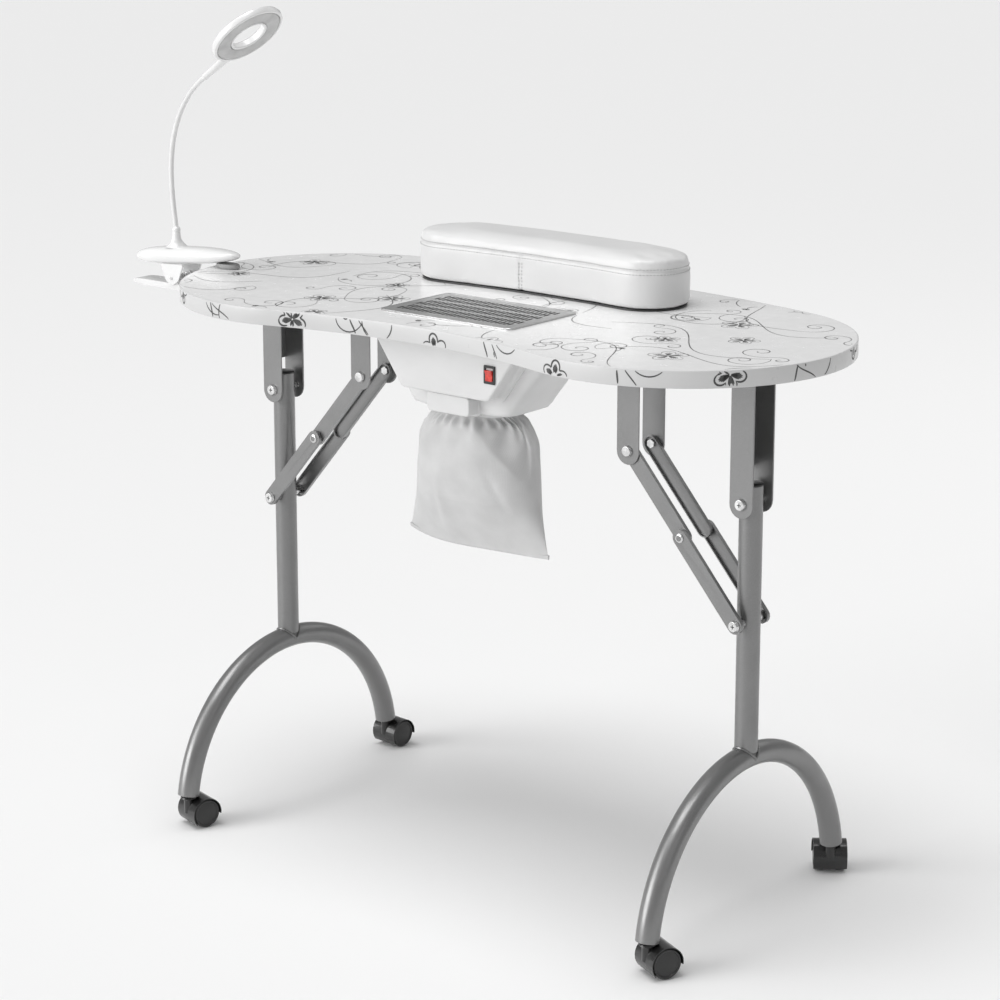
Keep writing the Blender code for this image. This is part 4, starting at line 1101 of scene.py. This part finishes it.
def lamp_arm():
    """The gooseneck is a smooth curve near six points of its bends, with fine ribs."""
    base, top = (np.array(JOINTS[name]["pos_m"]) for name in ("lamp_arm_bend", "lamp_head_tilt"))
    lean = np.array([(0, 0), (-0.005, 0.039), (-0.006, 0.084), (0.001, 0.128), (0.021, 0.169),
                     (0.061, 0.207)])
    at = np.r_[0, np.cumsum(np.linalg.norm(np.diff(lean, axis=0), axis=1))]
    fit_x, fit_z = np.polyfit(at, lean[:, 0], 4), np.polyfit(at, lean[:, 1], 4)
    s = np.linspace(0, at[-1], 300)
    curve = np.stack([base[0] + np.polyval(fit_x, s), np.full(300, base[1]),
                      base[2] + np.polyval(fit_z, s)], 1)
    blend = (s / at[-1])[:, None]
    curve = curve + (1 - blend) * (base - curve[0]) + blend * (top - curve[-1])
    ribs = 0.0034 + 0.00012 * np.sin(s / 0.0016 * 2 * math.pi)
    shells("arm_sleeve", [pipe(curve, ribs, (0, 1, 0), 24)], LAMP_WHITE, "lamp_arm",
           ["lamp_gooseneck"], sharp=80)


lamp_arm()


def lamp_head():
    """Ring and stem: the ring's section is a rounded flat rim, the diffuser a low crown."""
    pivot = np.array(JOINTS["lamp_head_tilt"]["pos_m"])
    middle = near("lamp_diffuser")
    tilt = math.radians(43.0)
    along = np.array([math.cos(tilt), 0, math.sin(tilt)])
    back = np.array([-math.sin(tilt), 0, math.cos(tilt)])
    centre = middle + back * 0.0046
    outer, inner, half = 0.0508, 0.0225, 0.0054
    section = [(half, inner + 0.004), (half + 0.0008, 0.036), (half, outer - 0.005),
               (half - 0.0020, outer - 0.0015), (0.0, outer), (-half + 0.0010, outer - 0.0008),
               (-half, outer - 0.0022), (-half, 0.0466), (-half + 0.0018, 0.0462),
               (-half + 0.0018, 0.0262), (-half, 0.0258), (-half, inner + 0.0010),
               (-half + 0.0010, inner), (half - 0.0022, inner + 0.0008)]
    ring = turned(section, centre, back, 96)
    stem_end = centre - pivot - along * (outer - 0.006)
    t = np.linspace(0.01, 1, 14)[:, None]
    path = pivot + stem_end * t
    side = np.cross(along, (0, 1, 0))
    a = full_turn(32)
    wide, thick = 0.0048 + 0.0080 * t**2.2, 0.0046 + 0.0006 * t
    stem = path[:, None] + wide[:, :, None] * np.cos(a)[None, :, None] * np.array([0, 1, 0])
    stem = stem + thick[:, :, None] * np.sin(a)[None, :, None] * side
    shells("lamp_ring_shell", [ring], LAMP_WHITE, "lamp_ring", ["lamp_head"],
           closed=True)
    shells("lamp_stem", [stem, ball(pivot, 0.0048)], LAMP_WHITE, "lamp_ring")
    frosted, tree, shader, place = finish("frosted_diffuser", (0.50, 0.50, 0.50), 0.45, coat=0.2)
    tree.links.new(ramp(tree, noise(tree, place, 60, 2), [(0.3, 0.44), (0.7, 0.55)]),
                   shader.inputs["Base Color"])
    relief(tree, shader, noise(tree, place, 1200, 1), 0.00006, 0.6)
    crown = [(-half + 0.0016, 0.0264), (-half + 0.0002, 0.0275), (-half - 0.0002, 0.0362),
             (-half + 0.0002, 0.0450), (-half + 0.0016, 0.0460), (-half + 0.0020, 0.0362)]
    shells("diffuser_ring", [turned(crown, centre, back, 96)], frosted, "lamp_ring",
           ["lamp_diffuser"], closed=True)


lamp_head()

# ---------------------------------------------------------------- arm cushion
# The hand rest is a foam block on a thin black board, covered in white synthetic leather: a top
# panel and a side band meet in a twin-stitched seam, and an upright seam closes the band in front.


def soft_leather(name):
    """Coated synthetic leather: fine pebble grain, shallow wrinkles and a low satin gloss."""
    material, tree, shader, place = finish(name, (0.68, 0.68, 0.68), 0.38, coat=0.12, sheen=0.05)
    tree.links.new(ramp(tree, noise(tree, place, 11, 4), [(0.3, 0.655), (0.7, 0.70)]),
                   shader.inputs["Base Color"])
    grain = tree.nodes.new("ShaderNodeTexVoronoi")
    grain.inputs["Scale"].default_value = 850
    tree.links.new(place, grain.inputs["Vector"])
    tree.links.new(ramp(tree, noise(tree, place, 40, 4), [(0.3, 0.32), (0.75, 0.46)]),
                   shader.inputs["Roughness"])
    relief(tree, shader, grain.outputs["Distance"], 0.00008, 0.35)
    relief(tree, shader, noise(tree, place, 48, 4), 0.0004, 0.35)
    return material


def polyester(name):
    """Polyester thread, a little greyer than the leather and fuzzy along its twist."""
    material, tree, shader, place = finish(name, (0.42, 0.42, 0.42), 0.75)
    fuzz = noise(tree, place, 900, 3)
    tree.links.new(ramp(tree, fuzz, [(0.3, 0.34), (0.7, 0.48)]), shader.inputs["Base Color"])
    relief(tree, shader, fuzz, 0.00008, 0.6)
    return material


def even_mesh(piece, modifier, **settings):
    """The piece's mesh after one modifier, taken over as its own."""
    added = piece.modifiers.new(modifier.lower(), modifier)
    for key, value in settings.items():
        setattr(added, key, value)
    graph = bpy.context.evaluated_depsgraph_get()
    mesh = bpy.data.meshes.new_from_object(piece.evaluated_get(graph))
    piece.modifiers.clear()
    piece.data = mesh


def points_of(mesh, field="co"):
    """The vertices' places, or their normals, as an array."""
    values = np.empty(len(mesh.vertices) * 3)
    mesh.vertices.foreach_get(field, values)
    return values.reshape(-1, 3)


def puffed(piece, held, pressure, cap):
    """The foam pushes the cover out: cloth under pressure for some frames, its held vertices fixed
    and every other one moved by at most cap."""
    frames = 20
    start = points_of(piece.data)
    group = piece.vertex_groups.new(name="held")
    group.add(np.flatnonzero(held(start)).tolist(), 1.0, "REPLACE")
    cloth = piece.modifiers.new("cover", "CLOTH")
    cover = cloth.settings
    cover.quality = 4
    cover.mass = 0.3
    cover.tension_stiffness = cover.compression_stiffness = 25
    cover.shear_stiffness = 12
    cover.bending_stiffness = 4
    cover.use_pressure = True
    cover.uniform_pressure_force = pressure
    cover.vertex_group_mass = "held"
    cover.effector_weights.gravity = 0
    cloth.point_cache.frame_start, cloth.point_cache.frame_end = 1, frames
    scene = bpy.context.scene
    for frame_number in range(1, frames + 1):
        scene.frame_set(frame_number)
    swollen = points_of(piece.evaluated_get(bpy.context.evaluated_depsgraph_get()).data)
    scene.frame_set(1)
    piece.modifiers.clear()
    piece.vertex_groups.clear()
    move = swollen - start
    move *= np.minimum(1, cap / np.maximum(np.linalg.norm(move, axis=1), 1e-9))[:, None]
    piece.data.vertices.foreach_set("co", (start + move).ravel())
    piece.data.update()


def stitches(surface, path, pitch, length, thick):
    """Threads along a path: each is a short rounded stick on the nearest point of the surface."""
    span = np.r_[0, np.cumsum(np.linalg.norm(np.diff(path, axis=0), axis=1))]
    at = np.arange(pitch / 2, span[-1] - pitch / 2, pitch)
    centre = np.stack([np.interp(at, span, path[:, k]) for k in range(3)], 1)
    ahead = np.stack([np.interp(at + 0.001, span, path[:, k]) for k in range(3)], 1) - centre
    found = [surface.find_nearest(Vector(point)) for point in centre]
    centre, out = np.array([hit[0] for hit in found]), np.array([hit[1] for hit in found])
    ahead -= out * np.sum(ahead * out, 1)[:, None]
    ahead /= np.linalg.norm(ahead, axis=1)[:, None]
    side = np.cross(ahead, out)
    u, r = np.array([-0.5, -0.42, 0, 0.42, 0.5]), np.array([0.25, 0.8, 1, 0.8, 0.25])
    a = full_turn(6)
    across = side[:, None, None] * np.cos(a)[:, None] + out[:, None, None] * np.sin(a)[:, None]
    rings = centre[:, None, None] + ahead[:, None, None] * (u * length)[None, :, None, None]
    return list(rings + across * (r * thick)[None, :, None, None]
                + out[:, None, None] * thick * 0.35)


def cushion():
    """Rings run from near the middle of the base out, up the side and over to the crown's middle
    line. The cover is then puffed between its seams, and sinks along them under the thread."""
    corner, far = ends_of("arm_cushion")
    low, high = corner[2] - 0.0012, far[2] - 0.0020
    shape = (0.148, 0.0520, 0.0600, -0.0435)
    seam = low + 0.0455
    place = np.array([(corner[0] + far[0]) / 2, TABLE[1] + 0.120, 0])
    levels = [(0.030, low), (0.004, low), (0.0006, low + 0.0010), (0.0, low + 0.0060),
              (0.0, low + 0.0300), (0.0002, seam - 0.0060), (0.0006, seam), (0.0014, seam + 0.0035),
              (0.0036, high - 0.0062), (0.0070, high - 0.0036), (0.0115, high - 0.0024),
              (0.0200, high - 0.0018), (0.0300, high - 0.0016)]
    outline = kidney(*shape, count=70)
    spine_x = np.clip(outline[:, 0], -shape[0], shape[0])
    spine = np.stack([spine_x, 0.006 - 0.004 * np.cos(spine_x / shape[0] * math.pi)], 1)
    rings = []
    for inset, z in levels + [(0.042, high - 0.0016), (0.0495, high - 0.0016),
                              (0.0519, high - 0.0016)]:
        ring = kidney(*shape, inset=inset,
                      count=70) if inset < 0.012 else outline + (spine - outline) * inset / 0.052
        rings.append(level(ring, z))
    leather = soft_leather("white_leather")
    pad = shells("cushion_pad", [np.array(rings) + place], leather, "cushion",
                 ["arm_cushion"], sharp=180)
    even_mesh(pad, "REMESH", mode="VOXEL", voxel_size=0.0045, use_smooth_shade=True)
    upright = -0.016
    upright_x = place[0] + upright

    def held(points):
        beside = (np.abs(points[:, 0] - upright_x) < 0.0025) & (points[:, 2] < seam)
        return (points[:, 2] < low + 0.0035) | (np.abs(points[:, 2] - seam) < 0.0024) | beside

    puffed(pad, held, 4.0, 0.0032)
    even_mesh(pad, "SUBSURF", levels=1, render_levels=1)
    points, out = points_of(pad.data), points_of(pad.data, "normal")
    around = np.arctan2(points[:, 1] - place[1], points[:, 0] - place[0])
    ring_seam = np.exp(-((points[:, 2] - seam) / 0.0021) ** 2)
    side_seam = np.exp(-((points[:, 0] - upright_x) / 0.0021) ** 2) * (points[:, 2] < seam)
    pull = np.exp(-((points[:, 2] - seam) / 0.0085) ** 2) * (0.5 + 0.5
                                                             * np.sin(around * 46
                                                                      + 2 * np.sin(around * 7)))
    side_pull = np.exp(-((points[:, 0] - upright_x) / 0.011) ** 2) * (points[:, 2] < seam) * (
        0.5 + 0.5 * np.sin(points[:, 2] * 520 + 2 * np.sin(points[:, 2] * 190)))
    soft = np.sin(points[:, 0] * 41 + 1.3) * np.sin(points[:, 1] * 60 + points[:, 2] * 75)
    points -= out * (0.0013 * ring_seam + 0.0012 * side_seam + 0.0005 * pull + 0.0005 * side_pull
                     + 0.0003 * soft)[:, None]
    points[:, 2] = np.maximum(points[:, 2], low)
    pad.data.vertices.foreach_set("co", points.ravel())
    pad.data.update()
    pad.data.shade_smooth()
    surface = BVHTree.FromPolygons(points.tolist(), [tuple(face.vertices)
                                                     for face in pad.data.polygons])
    threads = []
    pitch, length, thick = 0.0044, 0.0027, 0.0005
    loop = np.vstack([outline, outline[:1]])
    for rise in (-0.0028, 0.0028):
        threads += stitches(surface, level(loop, seam + rise) + place, pitch, length, thick)
    front = outline[(outline[:, 1] < 0) & (np.abs(outline[:, 0] - upright) < 0.004)][:, 1].mean()
    for shift in (-0.0024, 0.0024):
        rise = np.linspace(low + 0.002, seam - 0.004, 20)
        path = np.stack([np.full(20, upright_x + shift), np.full(20, place[1] + front), rise], 1)
        threads += stitches(surface, path, pitch, length, thick)
    shells("cushion_stitches", threads, polyester("sewing_thread"), "cushion",
           sharp=180)
    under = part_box("cushion_base")[0][2]
    flat = kidney(*shape, inset=0.0030, count=70)
    base = [level(flat, z) + place for z in (under, low - 0.0001)]
    shells("cushion_base_board", [np.array(base)], BLACK_PLASTIC, "cushion",
           ["cushion_base"])


cushion()

# ---------------------------------------------------------------- studio
# A plain pale floor, large soft lights and the camera.


def studio():
    """Floor, two wide suns, three area lights, a pale world and the camera."""
    bpy.ops.mesh.primitive_plane_add(size=160, location=(0, 0, -0.0004))
    floor = bpy.context.object
    floor.name = "floor"
    pale = bpy.data.materials.new("floor_paint")
    pale.use_nodes = True
    pale.node_tree.nodes["Principled BSDF"].inputs["Base Color"].default_value = (0.85, 0.85, 0.85,
                                                                                  1)
    pale.node_tree.nodes["Principled BSDF"].inputs["Roughness"].default_value = 0.9
    floor.data.materials.append(pale)
    world = bpy.data.worlds.new("studio")
    world.use_nodes = True
    world.node_tree.nodes["Background"].inputs["Color"].default_value = (1, 1, 1, 1)
    world.node_tree.nodes["Background"].inputs["Strength"].default_value = 0.36
    bpy.context.scene.world = world
    bpy.context.scene.view_settings.view_transform = "Standard"
    for name, heading, power in (("skylight", (0.10, 0.18, -1.0), 1.6),
                                 ("window", (0.50, 0.80, -0.24), 1.75)):
        sun = bpy.data.lights.new(name, "SUN")
        sun.energy = power
        sun.angle = math.radians(40)
        soft_sun = bpy.data.objects.new(name, sun)
        soft_sun.rotation_euler = Vector(heading).to_track_quat("-Z", "Y").to_euler()
        bpy.context.scene.collection.objects.link(soft_sun)
    for name, spot, size, power in (("key", (-1.8, -2.6, 3.0), 1.8, 14),
                                    ("fill", (3.2, -1.2, 2.0), 1.6, 2.5),
                                    ("back", (0.4, 3.0, 2.6), 2.0, 8)):
        light = bpy.data.lights.new(name, "AREA")
        light.energy = power
        light.size = size
        lamp = bpy.data.objects.new(name, light)
        lamp.location = spot
        lamp.rotation_euler = (Vector((0, 0, 0.5))
                               - Vector(spot)).to_track_quat("-Z", "Y").to_euler()
        bpy.context.scene.collection.objects.link(lamp)
    data = bpy.data.cameras.new("camera")
    data.lens = 100.8
    data.sensor_width = 36
    data.shift_y = -0.08
    camera = bpy.data.objects.new("camera", data)
    camera.location = (2.1721, -2.6201, 1.3562)
    camera.rotation_euler = (math.radians(90 - 13.34), 0, math.radians(38.95))
    bpy.context.scene.collection.objects.link(camera)
    bpy.context.scene.camera = camera


studio()
